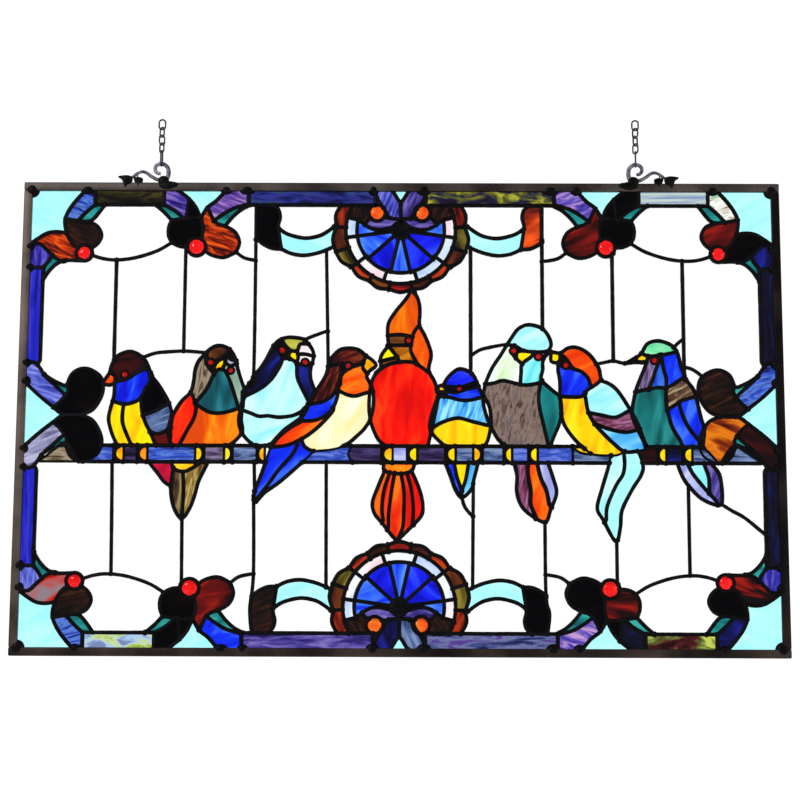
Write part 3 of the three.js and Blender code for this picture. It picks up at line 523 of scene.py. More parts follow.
# Curves: a smooth way through given points, sampled every few millimetres
def smooth(points, closed=False):
    way = [Vector(p) for p in points]
    count = len(way)
    samples = []
    spans = count if closed else count - 1
    for i in range(spans):
        p1, p2 = way[i], way[(i + 1) % count]
        p0 = way[i - 1] if closed or i else p1
        p3 = way[(i + 2) % count] if closed or i + 2 < count else p2
        steps = max(1, round((p2 - p1).length / sheet["curveStep"]))
        for k in range(steps):
            t = k / steps
            if count == 2:
                samples.append(p1.lerp(p2, t))
                continue
            samples.append(0.5 * (2 * p1 + (p2 - p0) * t + (2 * p0 - 5 * p1 + 4 * p2 - p3) * t * t
                                  + (3 * p1 - p0 - 3 * p2 + p3) * t ** 3))
    if not closed:
        samples.append(way[-1])
    return samples


def nearestOn(point, way):
    best, at, away = None, 0, 1e9
    for i, (a, b) in enumerate(zip(way, way[1:])):
        run = b - a
        share = max(0.0, min(1.0, (point - a).dot(run) / max(run.length_squared, 1e-9)))
        spot = a + run * share
        if (spot - point).length < away:
            best, at, away = spot, i, (spot - point).length
    return best, at


# Each open end is drawn on to the nearest other line or jewel ring, which gets a corner there, so the
# leads meet
def snapEnds(ways, rings):
    reach = sheet["snap"]
    every = ways + rings
    boxes = []
    for way in every:
        boxes.append((min(p.x for p in way) - reach, max(p.x for p in way) + reach,
                      min(p.y for p in way) - reach, max(p.y for p in way) + reach))
    for i, way in enumerate(ways[1:], 1):
        for end in (0, -1):
            tip = way[end]
            found = []
            for j, (other, box) in enumerate(zip(every, boxes)):
                if j != i and box[0] < tip.x < box[1] and box[2] < tip.y < box[3]:
                    spot, at = nearestOn(tip, other)
                    found.append(((spot - tip).length, j, at, spot))
            away, j, at, spot = min(found, key=lambda f: f[0], default=(1e9, 0, 0, tip))
            if away > reach:
                continue
            close = [p for p in every[j][at:at + 2] if (p - spot).length < sheet["merge"]]
            if close:
                way[end] = close[0].copy()
            else:
                way[end] = spot.copy()
                every[j].insert(at + 1, spot.copy())
    return every


# Lines stop at the ring of solder round a jewel
def outOfRings(way):
    for x, z, radius, _ in jewelSpots():
        middle, ring = Vector((x, z)), radius + jewel["rim"]
        while len(way) > 3 and (way[1] - middle).length < ring:
            way.pop(0)
        while len(way) > 3 and (way[-2] - middle).length < ring:
            way.pop()
    return way


def frameWay():
    x = panel["halfWidth"] - panel["frameFace"] + 1
    z = panel["halfHeight"] - panel["frameFace"] + 1
    return [Vector(p) for p in ((-x, -z), (x, -z), (x, z), (-x, z), (-x, -z))]


def jewelSpots():
    spots = []
    for sideways, upward in quarterGlass:
        for x, z, radius in borderJewels.values():
            spots.append((sideways * x, upward * z, radius, "jewelRed"))
    for upward in (1, -1):
        spots.append((-26, upward * 221, 7.0, "jewelAmber"))
        spots.append((22.5, upward * 221, 7.0, "jewelAmber"))
    return spots


def allLines():
    lines = []
    for sideways, upward in quarterGlass:
        lines += mirrored(borderLines, sideways, upward)
    for upward in (1, -1):
        lines += mirrored(medallionLines(), 1, upward)
    for bird in birds.values():
        lines += bird["lines"]
    lines += branch["lines"]
    lines += [[(x, branchTop + 1), (x, branchBottom - 1)] for x in branch["cuts"]]
    for low, high, bulge in branch["feet"]:
        flat = low if bulge > 0 else high
        peak = flat + bulge * (high - low) * foot["peak"]
        side = flat + bulge * (high - low) * foot["side"]
        heel = flat + bulge * foot["heel"]
        lines.append([(heel, branchTop), (side, branchTop - foot["inset"]),
                      (peak, (branchTop + branchBottom) / 2),
                      (side, branchBottom + foot["inset"]), (heel, branchBottom)])
    return lines + fieldLines


def jewelRing(x, z, radius):
    ring = radius + jewel["rim"]
    return [Vector((x + ring * math.cos(t * math.tau / 20), z + ring * math.sin(t * math.tau / 20)))
            for t in range(21)]


def planarNetwork():
    rings = [jewelRing(x, z, radius) for x, z, radius, _ in jewelSpots()]
    ways = snapEnds([frameWay()] + [outOfRings(smooth(line)) for line in allLines()], rings)
    corners, edges = [], []
    for way in ways:
        start = len(corners)
        corners += way
        edges += [(start + i, start + i + 1) for i in range(len(way) - 1)]
    spots, cut, _, _, drawn, _ = delaunay_2d_cdt(corners, edges, [], 2, 0.01)
    links = {}
    for (a, b), lines in zip(cut, drawn):
        if not lines or (spots[a] - spots[b]).length < 1e-6:
            continue
        links.setdefault(a, set()).add(b)
        links.setdefault(b, set()).add(a)
    loose = [v for v in links if len(links[v]) == 1]
    while loose:
        v = loose.pop()
        if len(links.get(v, ())) != 1:
            continue
        other = links.pop(v).pop()
        links[other].discard(v)
        if len(links[other]) == 1:
            loose.append(other)
    return spots, {v: near for v, near in links.items() if near}


def faceLoops(spots, links):
    turns = {}
    for v, near in links.items():
        around = sorted(near, key=lambda n: math.atan2(spots[n].y - spots[v].y, spots[n].x - spots[v].x))
        for i, n in enumerate(around):
            turns[(n, v)] = (v, around[i - 1])
    seen, loops = set(), []
    for start in turns:
        if start in seen:
            continue
        loop, step = [], start
        while step not in seen:
            seen.add(step)
            loop.append(step[0])
            step = turns[step]
        ring = [spots[v] for v in loop]
        area = sum(a.x * b.y - b.x * a.y for a, b in zip(ring, ring[1:] + ring[:1])) / 2
        if area > sheet["smallest"]:
            loops.append((ring, area))
    return loops


def inside(point, ring):
    x, z = point
    hit = False
    for a, b in zip(ring, ring[1:] + ring[:1]):
        if (a.y > z) != (b.y > z) and x < a.x + (z - a.y) / (b.y - a.y) * (b.x - a.x):
            hit = not hit
    return hit


def solderRuns(spots, links):
    runs, done = [], set()
    joints = [v for v in links if len(links[v]) != 2]
    for start in joints + list(links):
        for near in links[start]:
            if (start, near) in done:
                continue
            run, a, b = [start, near], start, near
            done.update({(a, b), (b, a)})
            while len(links[b]) == 2 and b != start:
                a, b = b, next(n for n in links[b] if n != a)
                done.update({(a, b), (b, a)})
                run.append(b)
            runs.append([spots[v] for v in run])
    return runs, [spots[v] for v in joints if len(links[v]) > 2]


spots, links = planarNetwork()
cells = faceLoops(spots, links)
print("glass cells:", len(cells))


# Materials
def linear(code):
    parts = [int(code[i:i + 2], 16) / 255 for i in (1, 3, 5)]
    return [c / 12.92 if c <= 0.04045 else ((c + 0.055) / 1.055) ** 2.4 for c in parts] + [1.0]


def newMaterial(name):
    material = bpy.data.materials.new(name)
    material.use_nodes = True
    return material, material.node_tree, material.node_tree.nodes["Principled BSDF"]


def addNode(tree, kind, inputs=None, **settings):
    node = tree.nodes.new("ShaderNode" + kind)
    for key, value in settings.items():
        setattr(node, key, value)
    for key, value in (inputs or {}).items():
        socket = node.inputs[key]
        if isinstance(value, bpy.types.NodeSocket):
            tree.links.new(value, socket)
        else:
            socket.default_value = value
    return node


def ramp(tree, factor, colors, low=0.34, high=0.66):
    node = addNode(tree, "ValToRGB", {"Fac": factor})
    stops = node.color_ramp.elements
    while len(stops) < len(colors):
        stops.new(0.5)
    for i, color in enumerate(colors):
        stops[i].position = low + (high - low) * i / max(1, len(colors) - 1)
        stops[i].color = linear(color)
    return node.outputs["Color"]


# Hand-rolled art glass: two or three colours stirred together while molten and rolled into a sheet, so the
# colours run in long soft streaks along the grain. Light comes through it from behind.
glassKinds = {
    "clear": {"colors": ["#fdffff", "#ffffff"], "rough": 0.0, "ripple": 0.02, "bend": 1.5},
    "aqua": {"colors": ["#a4f5fc", "#b0fbff", "#bcfdff"], "rough": 0.05},
    "greenWhite": {"colors": ["#cdf0b0", "#f4fff0", "#e8ffff"]},
    "aquaMid": {"colors": ["#3cd4e4", "#7cf0f4", "#b0ffff"]},
    "palestBlue": {"colors": ["#98f0f8", "#bcfcff", "#dcffff"], "rough": 0.05},
    "teal": {"colors": ["#0a5c60", "#168484", "#38a8a0"]},
    "tealBib": {"colors": ["#0a4450", "#14606c", "#2a8490"]},
    "tealDeep": {"colors": ["#0a5050", "#147474", "#2c9490"]},
    "black": {"colors": ["#020103", "#060405", "#180a08"], "low": 0.42, "high": 0.8, "through": 0.0,
              "bend": 1.5},
    "navyBlack": {"colors": ["#04030c", "#0a0a28", "#101a5a"], "fine": True, "low": 0.38, "high": 0.72},
    "brownBlack": {"colors": ["#080404", "#241008", "#4a2412"], "fine": True, "low": 0.38, "high": 0.72},
    "darkRed": {"colors": ["#1c0202", "#600806", "#a81c0c"], "low": 0.36, "high": 0.7},
    "blackRed": {"colors": ["#080204", "#1c0406", "#b81c0c"], "low": 0.4, "high": 0.72},
    "redGrey": {"colors": ["#7a0806", "#c8200c", "#8c7c84"]},
    "emberStreak": {"colors": ["#1c0604", "#6c1404", "#c83408", "#e8600c"], "fine": True},
    "orangeDark": {"colors": ["#1c0604", "#a02808", "#ff5a14"]},
    "orangeBrown": {"colors": ["#3c0c04", "#8c2c04", "#e88010", "#b84808"]},
    "maroon": {"colors": ["#0c0102", "#200406", "#380608"]},
    "maroonBrown": {"colors": ["#1c0406", "#3c0a0a", "#5c1410", "#7c3414"], "fine": True},
    "maroonLavender": {"colors": ["#281c34", "#584868", "#8c80a8"], "fine": True},
    "maroonGreen": {"colors": ["#200408", "#4c1418", "#5c6c30", "#c0cc58"], "fine": True, "wide": 14,
                    "long": 36},
    "mauve": {"colors": ["#30102c", "#743450", "#a87098"], "fine": True},
    "midBlue": {"colors": ["#141c5c", "#2c4cc0", "#5c84dc", "#343878"], "fine": True},
    "brightBlue": {"colors": ["#0414d0", "#0c34fc", "#3c70ff"]},
    "cobalt": {"colors": ["#0408c0", "#1420f4", "#2c4cff"]},
    "cobaltPale": {"colors": ["#1030f0", "#3c78fc", "#7cb0ff"]},
    "cobaltLight": {"colors": ["#1440c8", "#3c78ec", "#80b0f8"]},
    "skyBlue": {"colors": ["#3ca4f0", "#68c8ff", "#a4ecff"]},
    "skyStreak": {"colors": ["#1c84e0", "#5cbcf8", "#a0e8ff"], "wide": 4, "long": 26},
    "slateBlue": {"colors": ["#242c50", "#4c6498", "#7c90b8"], "fine": True},
    "royalStreak": {"colors": ["#0c0c6c", "#1c24c8", "#4438b8"], "fine": True, "long": 80},
    "indigo": {"colors": ["#140c5c", "#2c24a0", "#5c58c0"], "fine": True},
    "navy": {"colors": ["#020220", "#080c4c", "#18208c"]},
    "navyGreen": {"colors": ["#080828", "#141c60", "#30308c", "#1c4c4c"], "fine": True, "wide": 8,
                  "long": 34},
    "lavenderBlue": {"colors": ["#2c3498", "#5c68d0", "#8c94e4"], "fine": True},
    "lavenderGrey": {"colors": ["#5c5c80", "#8c8cb4", "#b8b8d8"], "fine": True},
    "lavender": {"colors": ["#7478c4", "#a0a8e8", "#ccd4fc"]},
    "lavenderPurple": {"colors": ["#1c1458", "#483c94", "#7c6cb8"], "fine": True, "wide": 7, "long": 36},
    "violet": {"colors": ["#1c0c5c", "#4430a0", "#8068b8"], "fine": True},
    "violetBlue": {"colors": ["#1c1c70", "#4448b8", "#7880e0"], "fine": True, "long": 60},
    "violetWhite": {"colors": ["#2c1c88", "#5c4cb8", "#c098cc"], "fine": True},
    "purpleStreak": {"colors": ["#34146c", "#6848a8", "#b890c0"], "fine": True},
    "purpleGrey": {"colors": ["#1c1848", "#44508c", "#7078a0", "#50388c"], "fine": True, "wide": 7,
                   "long": 40},
    "darkOlive": {"colors": ["#080604", "#1c180c", "#444018"], "fine": True, "wide": 7, "long": 40},
    "olive": {"colors": ["#6c6c10", "#a0a020", "#c8c850"]},
    "oliveMaroon": {"colors": ["#1c0c18", "#14183c", "#5c5c1c", "#b0b03c"], "fine": True, "wide": 13,
                    "long": 32},
    "skyOlive": {"colors": ["#8ca820", "#c8dc90", "#a8c8f0", "#7488b0"], "fine": True, "wide": 12,
                 "long": 26},
    "paleGreyBlue": {"colors": ["#5878b8", "#a4b8c8", "#c8d8c8"], "fine": True, "long": 80},
    "iridescent": {"colors": ["#7c6c40", "#e8e8dc", "#ffffff", "#9cc4a0"], "fine": True},
    "white": {"colors": ["#d0e4f4", "#f0f6fc", "#ffffff"], "rough": 0.3},
    "whitePink": {"colors": ["#f4c8d8", "#fcecf0", "#ffffff"], "rough": 0.3},
    "whiteBlue": {"colors": ["#98b8f0", "#c8dcfc", "#f4f8ff"], "rough": 0.3},
    "cream": {"colors": ["#fff0a8", "#fff6c4", "#fffce4"], "rough": 0.2},
    "yellow": {"colors": ["#ffbc00", "#ffe000", "#fff000"]},
    "yellowOrange": {"colors": ["#ff9c00", "#ffd000", "#ffe818"]},
    "amber": {"colors": ["#f89800", "#ffc000", "#ffdc30"]},
    "amberBrown": {"colors": ["#8c4804", "#d08010", "#f8b030"]},
    "amberTail": {"colors": ["#4c3010", "#8c7034", "#c8b068"], "fine": True},
    "orange": {"colors": ["#e83400", "#f85000", "#ff7c10"]},
    "orangeRed": {"colors": ["#e01c00", "#fc4400", "#ff7410"]},
    "orangeFlame": {"colors": ["#e04800", "#fc7400", "#ffa018"]},
    "red": {"colors": ["#dc0400", "#fc1000", "#ff3c08"]},
    "redAmber": {"colors": ["#dc0c00", "#f83800", "#ffa818"]},
    "crimson": {"colors": ["#8c0420", "#cc0c3c", "#f04464"]},
    "tan": {"colors": ["#3c3020", "#7c6850", "#a89880", "#5c4c3c"], "fine": True},
    "tanBrown": {"colors": ["#2c1c14", "#6c4c38", "#b0a080"], "fine": True},
    "brown": {"colors": ["#341408", "#6c3c14", "#a0641c"]},
    "brownGrey": {"colors": ["#4c3832", "#74605a", "#8c786c", "#685c5c"], "fine": True, "long": 18},
    "brownRing": {"colors": ["#1c0804", "#4c1c0a", "#7c3c10"]},
    "redRing": {"colors": ["#240402", "#741406", "#c03c0c"]},
    "oliveRing": {"colors": ["#2c2008", "#5c5018", "#8c7c28"]},
    "brownTail": {"colors": ["#241408", "#5c4428", "#9c8c5c"], "fine": True},
    "brownLavender": {"colors": ["#382c50", "#6c5884", "#a490b8"], "fine": True},
    "greyGreen": {"colors": ["#6c8c7c", "#94b4a0", "#b8d0bc"]},
    "branchBlue": {"colors": ["#1c2c8c", "#3450c0", "#6c84d8"], "fine": True},
    "branchPurple": {"colors": ["#140c28", "#2c2048", "#4c3c74"], "fine": True},
    "greenCap": {"colors": ["#2ca46c", "#6ce0a0", "#b0f8c8"]},
}
glassMaterials = {}


def glassMaterial(kind):
    if kind in glassMaterials:
        return glassMaterials[kind]
    facts = glassKinds[kind]
    material, tree, shader = newMaterial("glass_" + kind)
    fine = facts.get("fine", False)
    wide = facts.get("wide", 5 if fine else 16) * mm
    long = facts.get("long", 30 if fine else 55) * mm
    uv = addNode(tree, "UVMap", uv_map="grain").outputs["UV"]
    grain = addNode(tree, "Mapping", {"Vector": uv, "Scale": (1 / long, 1 / wide, 1)}).outputs["Vector"]
    streak = addNode(tree, "TexNoise", {"Vector": grain, "Scale": 1.0, "Detail": 5.0 if fine else 2.0,
                                        "Roughness": 0.6 if fine else 0.45,
                                        "Distortion": 0.7}).outputs["Fac"]
    color = ramp(tree, streak, facts["colors"], facts.get("low", 0.37 if fine else 0.34),
                 facts.get("high", 0.62 if fine else 0.66))
    ripple = addNode(tree, "TexNoise", {"Vector": uv, "Scale": 70.0, "Detail": 2.0}).outputs["Fac"]
    bump = addNode(tree, "Bump", {"Height": ripple, "Strength": facts.get("ripple", 0.12),
                                  "Distance": 0.002})
    tree.links.new(color, shader.inputs["Base Color"])
    tree.links.new(bump.outputs["Normal"], shader.inputs["Normal"])
    shader.inputs["Transmission Weight"].default_value = facts.get("through", 1.0)
    shader.inputs["IOR"].default_value = facts.get("bend", 1.28)
    shader.inputs["Specular IOR Level"].default_value = 0.08
    shader.inputs["Roughness"].default_value = facts.get("rough", 0.08)
    glassMaterials[kind] = material
    return material


# Tin-lead solder run over copper foil and blackened with patina: near-black, soft shine, faint hand marks
def solderMaterial():
    material, tree, shader = newMaterial("patinated_solder")
    spot = addNode(tree, "TexCoord").outputs["Object"]
    cloud = addNode(tree, "TexNoise", {"Vector": spot, "Scale": 60.0, "Detail": 6.0}).outputs["Fac"]
    color = ramp(tree, cloud, ["#050406", "#0c0a0d", "#181519"], 0.35, 0.75)
    rough = addNode(tree, "MapRange", {"Value": cloud, "To Min": 0.28, "To Max": 0.55}).outputs["Result"]
    fine = addNode(tree, "TexNoise", {"Vector": spot, "Scale": 420.0, "Detail": 3.0}).outputs["Fac"]
    bump = addNode(tree, "Bump", {"Height": fine, "Strength": 0.25, "Distance": 0.0006})
    tree.links.new(color, shader.inputs["Base Color"])
    tree.links.new(rough, shader.inputs["Roughness"])
    tree.links.new(bump.outputs["Normal"], shader.inputs["Normal"])
    shader.inputs["Metallic"].default_value = 0.85
    return material


# Cast or drawn metal, darkened by its finish: cloudy in colour and shine, faintly uneven
def metalMaterial(name, colors, roughLow, roughHigh, scale):
    material, tree, shader = newMaterial(name)
    spot = addNode(tree, "TexCoord").outputs["Object"]
    cloud = addNode(tree, "TexNoise", {"Vector": spot, "Scale": scale, "Detail": 7.0}).outputs["Fac"]
    span = {"Value": cloud, "To Min": roughLow, "To Max": roughHigh}
    rough = addNode(tree, "MapRange", span).outputs["Result"]
    bump = addNode(tree, "Bump", {"Height": cloud, "Strength": 0.15, "Distance": 0.0008})
    tree.links.new(ramp(tree, cloud, colors), shader.inputs["Base Color"])
    tree.links.new(rough, shader.inputs["Roughness"])
    tree.links.new(bump.outputs["Normal"], shader.inputs["Normal"])
    shader.inputs["Metallic"].default_value = 0.9
    return material


# Pressed glass jewels: clear through and strongly coloured, with a polished dome
def jewelMaterial(name, colors):
    material, tree, shader = newMaterial(name)
    spot = addNode(tree, "TexCoord").outputs["Object"]
    cloud = addNode(tree, "TexNoise", {"Vector": spot, "Scale": 90.0, "Detail": 2.0}).outputs["Fac"]
    tree.links.new(ramp(tree, cloud, colors), shader.inputs["Base Color"])
    shader.inputs["Transmission Weight"].default_value = 1.0
    shader.inputs["IOR"].default_value = 1.35
    shader.inputs["Roughness"].default_value = 0.04
    return material


# Opaque red glass beads, fire-polished, so smooth and bright
def eyeMaterial():
    material, tree, shader = newMaterial("eye_red")
    spot = addNode(tree, "TexCoord").outputs["Object"]
    cloud = addNode(tree, "TexNoise", {"Vector": spot, "Scale": 300.0}).outputs["Fac"]
    tree.links.new(ramp(tree, cloud, ["#a00202", "#dc0606"]), shader.inputs["Base Color"])
    shader.inputs["Roughness"].default_value = 0.12
    shader.inputs["Specular IOR Level"].default_value = 0.2
    return material


solder = solderMaterial()
eyeGlass = eyeMaterial()
jewelKinds = {
    "jewelRed": jewelMaterial("jewel_red", ["#d80406", "#fc1210"]),
    "jewelAmber": jewelMaterial("jewel_amber", ["#e83c04", "#fc7c10"]),
}
print("materials are set")


# Glass: each cell between the lines becomes a plate of its own, a little smaller than the cell
def shrunk(ring, gap):
    kept = [p for p, q in zip(ring, ring[1:] + ring[:1]) if (p - q).length > 0.05]
    count = len(kept)
    inner = []
    for i, p in enumerate(kept):
        a = (p - kept[i - 1]).normalized()
        b = (kept[(i + 1) % count] - p).normalized()
        normal = Vector((-(a.y + b.y), a.x + b.x))
        if normal.length < 0.2:
            normal = Vector((-a.y, a.x))
        inner.append(p + normal.normalized() * gap / max(0.5, normal.length / 2))
    return inner


def addPlate(plates, ring, kind, angle, uvLayer, slots):
    inner = shrunk(ring, sheet["gap"])
    half = sheet["thickness"] / 2
    flat, _, faces, _, _, _ = delaunay_2d_cdt(inner, [], [list(range(len(inner)))], 1, 0.001)
    front = [plates.verts.new(place(p.x, p.y, -half)) for p in flat]
    back = [plates.verts.new(place(p.x, p.y, half)) for p in flat]
    made, rims = [], set()
    for corners in faces:
        made.append(plates.faces.new([front[i] for i in corners]))
        made.append(plates.faces.new([back[i] for i in reversed(corners)]))
        rims.update((a, b) for a, b in zip(corners, corners[1:] + corners[:1]))
    for a, b in rims:
        if (b, a) not in rims:
            made.append(plates.faces.new((front[b], front[a], back[a], back[b])))
    turn = Matrix.Rotation(-math.radians(angle), 2)
    shift = Vector((random.uniform(0, sheet["grainShift"]), random.uniform(0, sheet["grainShift"])))
    if kind not in slots:
        slots.append(kind)
    for face in made:
        face.material_index = slots.index(kind)
        for loop in face.loops:
            spot = turn @ Vector((loop.vert.co.x, loop.vert.co.z))
            loop[uvLayer].uv = spot + shift


def addObject(name, mesh, materials):
    obj = bpy.data.objects.new(name, mesh)
    bpy.context.scene.collection.objects.link(obj)
    for material in materials:
        obj.data.materials.append(material)
    return obj


def glassObject(name, pieces, replaces):
    plates = bmesh.new()
    uvLayer = plates.loops.layers.uv.new("grain")
    slots = []
    for ring, kind, angle in pieces:
        addPlate(plates, ring, kind, angle, uvLayer, slots)
    mesh = bpy.data.meshes.new(name)
    plates.to_mesh(mesh)
    plates.free()
    materials = [solder if kind == "solder" else glassMaterial(kind) for kind in slots]
    obj = addObject(name, mesh, materials)
    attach(obj, "root")
    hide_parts(*replaces)
    return obj


taken = set()
cellBoxes = [(min(p.x for p in ring), max(p.x for p in ring), min(p.y for p in ring), max(p.y for p in ring))
             for ring, _ in cells]


def cellsRound(x, z):
    return [i for i, box in enumerate(cellBoxes)
            if box[0] < x < box[1] and box[2] < z < box[3] and inside((x, z), cells[i][0])]


def cellAt(x, z):
    smallest = min(cellsRound(x, z), key=lambda i: cells[i][1])
    taken.add(smallest)
    return cells[smallest][0]


def gather(seeds):
    return [(cellAt(x, z), kind, angle) for x, z, kind, angle in seeds]


grainAngles = {"sideBar": 90, "armB": 90, "topBar": 0, "longBar": 0}
scrollGrain = 20


def borderSeeds(side):
    seeds = []
    for (sideways, upward), kinds in quarterGlass.items():
        if sideways != side:
            continue
        glass = {**everyQuarter, **kinds}
        for name, (x, z) in borderPieces.items():
            if upward < 0 and name == "sideTip":
                continue
            angle = grainAngles.get(name, sideways * upward * scrollGrain)
            seeds.append((sideways * x, upward * z, glass[name], angle))
    return seeds


# How far out the brown pieces have their middles, by the angle they stand at
brownMiddles = {0: 63.5, 21: 61.8, 42: 62.3, 61: 63.0, 82: 65, 100: 65}


def medallionSeeds(upward):
    seeds = []
    fans = ["cobaltPale", "cobalt", "cobaltPale", "cobalt", "cobalt"]
    for i, angle in enumerate((-65, -30, 0, 30, 65)):
        seeds.append((*polar(angle, medallion["fanMiddle"]), fans[i], 90 - angle))
    whites = ["whiteBlue", "white", "whitePink", "white", "whiteBlue", "white", "whitePink"]
    for i, angle in enumerate((-93, -67, -35, 0, 35, 67, 93)):
        seeds.append((*polar(angle, medallion["whiteMiddle"]), whites[i], angle))
    browns = ["redRing", "brownRing", "oliveRing", "redRing", "brownRing", "darkRed", "brownRing",
              "redRing", "brownRing", "oliveRing", "redRing"]
    for i, angle in enumerate((-100, -82, -61, -42, -21, 0, 21, 42, 61, 82, 100)):
        seeds.append((*polar(angle, brownMiddles[abs(angle)]), browns[i], angle))
    leaves = ("violetBlue", "lavenderPurple") if upward > 0 else ("navy", "slateBlue")
    for side in (-1, 1):
        seeds.append((medallion["x"] + side * 14, 234, leaves[side > 0], 70))
        seeds.append((medallion["x"] + side * 20, 206, "lavenderPurple", 0))
        seeds.append((medallion["x"] + side * 42.5, 204, "cobaltPale", 0))
        seeds.append((medallion["x"] + side * 36, 222, "brownBlack", 60))
    seeds.append((medallion["x"], 243, "aqua", 0))
    seeds.append((medallion["x"], 203, "solder", 0))
    return [(x, upward * z, kind, upward * angle) for x, z, kind, angle in seeds]


for name, bird in birds.items():
    glassObject(name, gather(bird["glass"]), bird["replaces"])
branchSeeds = [(x, -41.0, kind, 0) for x, kind in branch["glass"]] + [
    (187, -35.5, "amber", 0), (205, -46, "slateBlue", 0), (-359, -41, "tan", 0),
    (359, -41, "slateBlue", 0), (347.5, -40, "solder", 0), (-347.5, -40, "solder", 0),
    (326.5, -42.5, "slateBlue", 0),
]
for low, high, bulge in branch["feet"]:
    branchSeeds.append(((low if bulge < 0 else high) - bulge * 0.7, -41.3, "solder", 0))
glassObject("branch", gather(branchSeeds), branch["replaces"])
glassObject("borderLeft", gather(borderSeeds(-1)), ["border_left"])
glassObject("borderRight", gather(borderSeeds(1)), ["border_right"])
glassObject("medallionTop", gather(medallionSeeds(1)), ["medallion_top"])
glassObject("medallionBottom", gather(medallionSeeds(-1)), ["medallion_bottom"])

# A cell under a jewel holds no plate of glass
for x, z, _, _ in jewelSpots():
    cellAt(x, z)
clearNodes = [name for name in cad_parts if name.startswith("clear_pane")]
clearPieces = [(ring, "clear", 90) for i, (ring, _) in enumerate(cells) if i not in taken]
glassObject("clearPanes", clearPieces, clearNodes)
print("clear pieces:", len(clearPieces))


# Choosing, joining and finishing pieces
def selectOnly(obj):
    bpy.ops.object.select_all(action="DESELECT")
    obj.select_set(True)
    bpy.context.view_layer.objects.active = obj


def finished(obj, name, material, replaces=()):
    obj.name = name
    selectOnly(obj)
    bpy.ops.object.transform_apply(location=True, rotation=True, scale=True)
    obj.data.materials.clear()
    obj.data.materials.append(material)
    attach(obj, "root")
    if replaces:
        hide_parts(*replaces)
    return obj


def joinAll(objects):
    bpy.ops.object.select_all(action="DESELECT")
    for obj in objects:
        obj.select_set(True)
    bpy.context.view_layer.objects.active = objects[0]
    if len(objects) > 1:
        bpy.ops.object.join()
    return bpy.context.view_layer.objects.active


def applied(obj, kind, **settings):
    selectOnly(obj)
    modifier = obj.modifiers.new(kind.title(), kind)
    for key, value in settings.items():
        setattr(modifier, key, value)
    bpy.ops.object.modifier_apply(modifier=modifier.name)
    return obj


# A round rod along each way, as thick at every point as its own radius says
def rods(ways, resolution):
    data = bpy.data.curves.new("rods", "CURVE")
    data.dimensions = "3D"
    data.bevel_depth = mm
    data.bevel_resolution = resolution
    data.use_fill_caps = True
    for points, radii, closed in ways:
        spline = data.splines.new("POLY")
        spline.points.add(len(points) - 1)
        spline.use_cyclic_u = closed
        for point, spot, radius in zip(spline.points, points, radii):
            point.co = (*spot, 1)
            point.radius = radius
    obj = bpy.data.objects.new("rods", data)
    bpy.context.scene.collection.objects.link(obj)
    selectOnly(obj)
    bpy.ops.object.convert(target="MESH")
    return bpy.context.view_layer.objects.active


# Solder beads: every run between joints is a rod of uneven thickness, with a puddle at each joint
def beadRadius(spot, width):
    wave = 0
    for rate, share, layer in beadWaves:
        wave += share * noise.noise(Vector((spot.x * rate, spot.y * rate, layer)))
    return width / 2 * (1 + bead["unevenness"] * wave)


# Beads between clear panes are narrower than those round coloured glass
def runWidth(run):
    if all(branchBottom - 0.6 < p.y < branchTop + 0.6 for p in run) and abs(run[0].y - run[-1].y) > 2:
        return bead["footWidth"]
    middle = run[len(run) // 2]
    along = (middle - run[len(run) // 2 - 1]).normalized()
    for side in (-1, 1):
        spot = middle + Vector((-along.y, along.x)) * side * 1.2
        if any(i in taken for i in cellsRound(spot.x, spot.y)):
            return bead["width"]
    return bead["fieldWidth"]


def puddlesObject(joints):
    drop = bmesh.new()
    bmesh.ops.create_icosphere(drop, subdivisions=2, radius=mm)
    shape = [vertex.co.copy() for vertex in drop.verts]
    corners = [[vertex.index for vertex in face.verts] for face in drop.faces]
    drop.free()
    spotsMade, facesMade = [], []
    for joint in joints:
        around = [cellsRound(joint.x + dx, joint.y + dz) for dx in (-3, 3) for dz in (-3, 3)]
        coloured = any(i in taken for near in around for i in near)
        width = bead["width"] if coloured else bead["fieldWidth"]
        radius = width / 2 * bead["puddle"] * random.uniform(0.9, 1.15)
        start = len(spotsMade)
        spotsMade += [place(joint.x, joint.y) + corner * radius for corner in shape]
        facesMade += [[start + i for i in face] for face in corners]
    mesh = bpy.data.meshes.new("puddles")
    mesh.from_pydata(spotsMade, [], facesMade)
    return addObject("puddles", mesh, [])


def solderObject(name, runs, joints, replaces=()):
    ways = []
    for run in runs:
        width = runWidth(run)
        ways.append(([place(p.x, p.y) for p in run], [beadRadius(p, width) for p in run], False))
    obj = rods(ways, resolution=1)
    obj = joinAll([obj, puddlesObject(joints)])
    limit = bead["depth"] / 2 * mm
    for vertex in obj.data.vertices:
        vertex.co.y = max(-limit, min(limit, vertex.co.y))
    bpy.ops.object.shade_smooth()
    return finished(obj, name, solder, replaces)


borderStart = {"x": 340, "z": 165}
underFrame = {"x": panel["halfWidth"] - panel["frameFace"] - 1,
              "z": panel["halfHeight"] - panel["frameFace"]}


def inBorder(spot):
    return abs(spot.y) > borderStart["z"] or abs(spot.x) > borderStart["x"]


runs, joints = solderRuns(spots, links)
runs = [run for run in runs
        if not all(abs(p.x) > underFrame["x"] or abs(p.y) > underFrame["z"] for p in run)]
borderRuns = [run for run in runs if inBorder(run[0]) and inBorder(run[-1])]
fieldRuns = [run for run in runs if not (inBorder(run[0]) and inBorder(run[-1]))]
solderObject("solderBorder", borderRuns, [j for j in joints if inBorder(j)], ["solder_lines"])
solderObject("solderField", fieldRuns, [j for j in joints if not inBorder(j)])
print("solder runs:", len(runs), "joints:", len(joints))


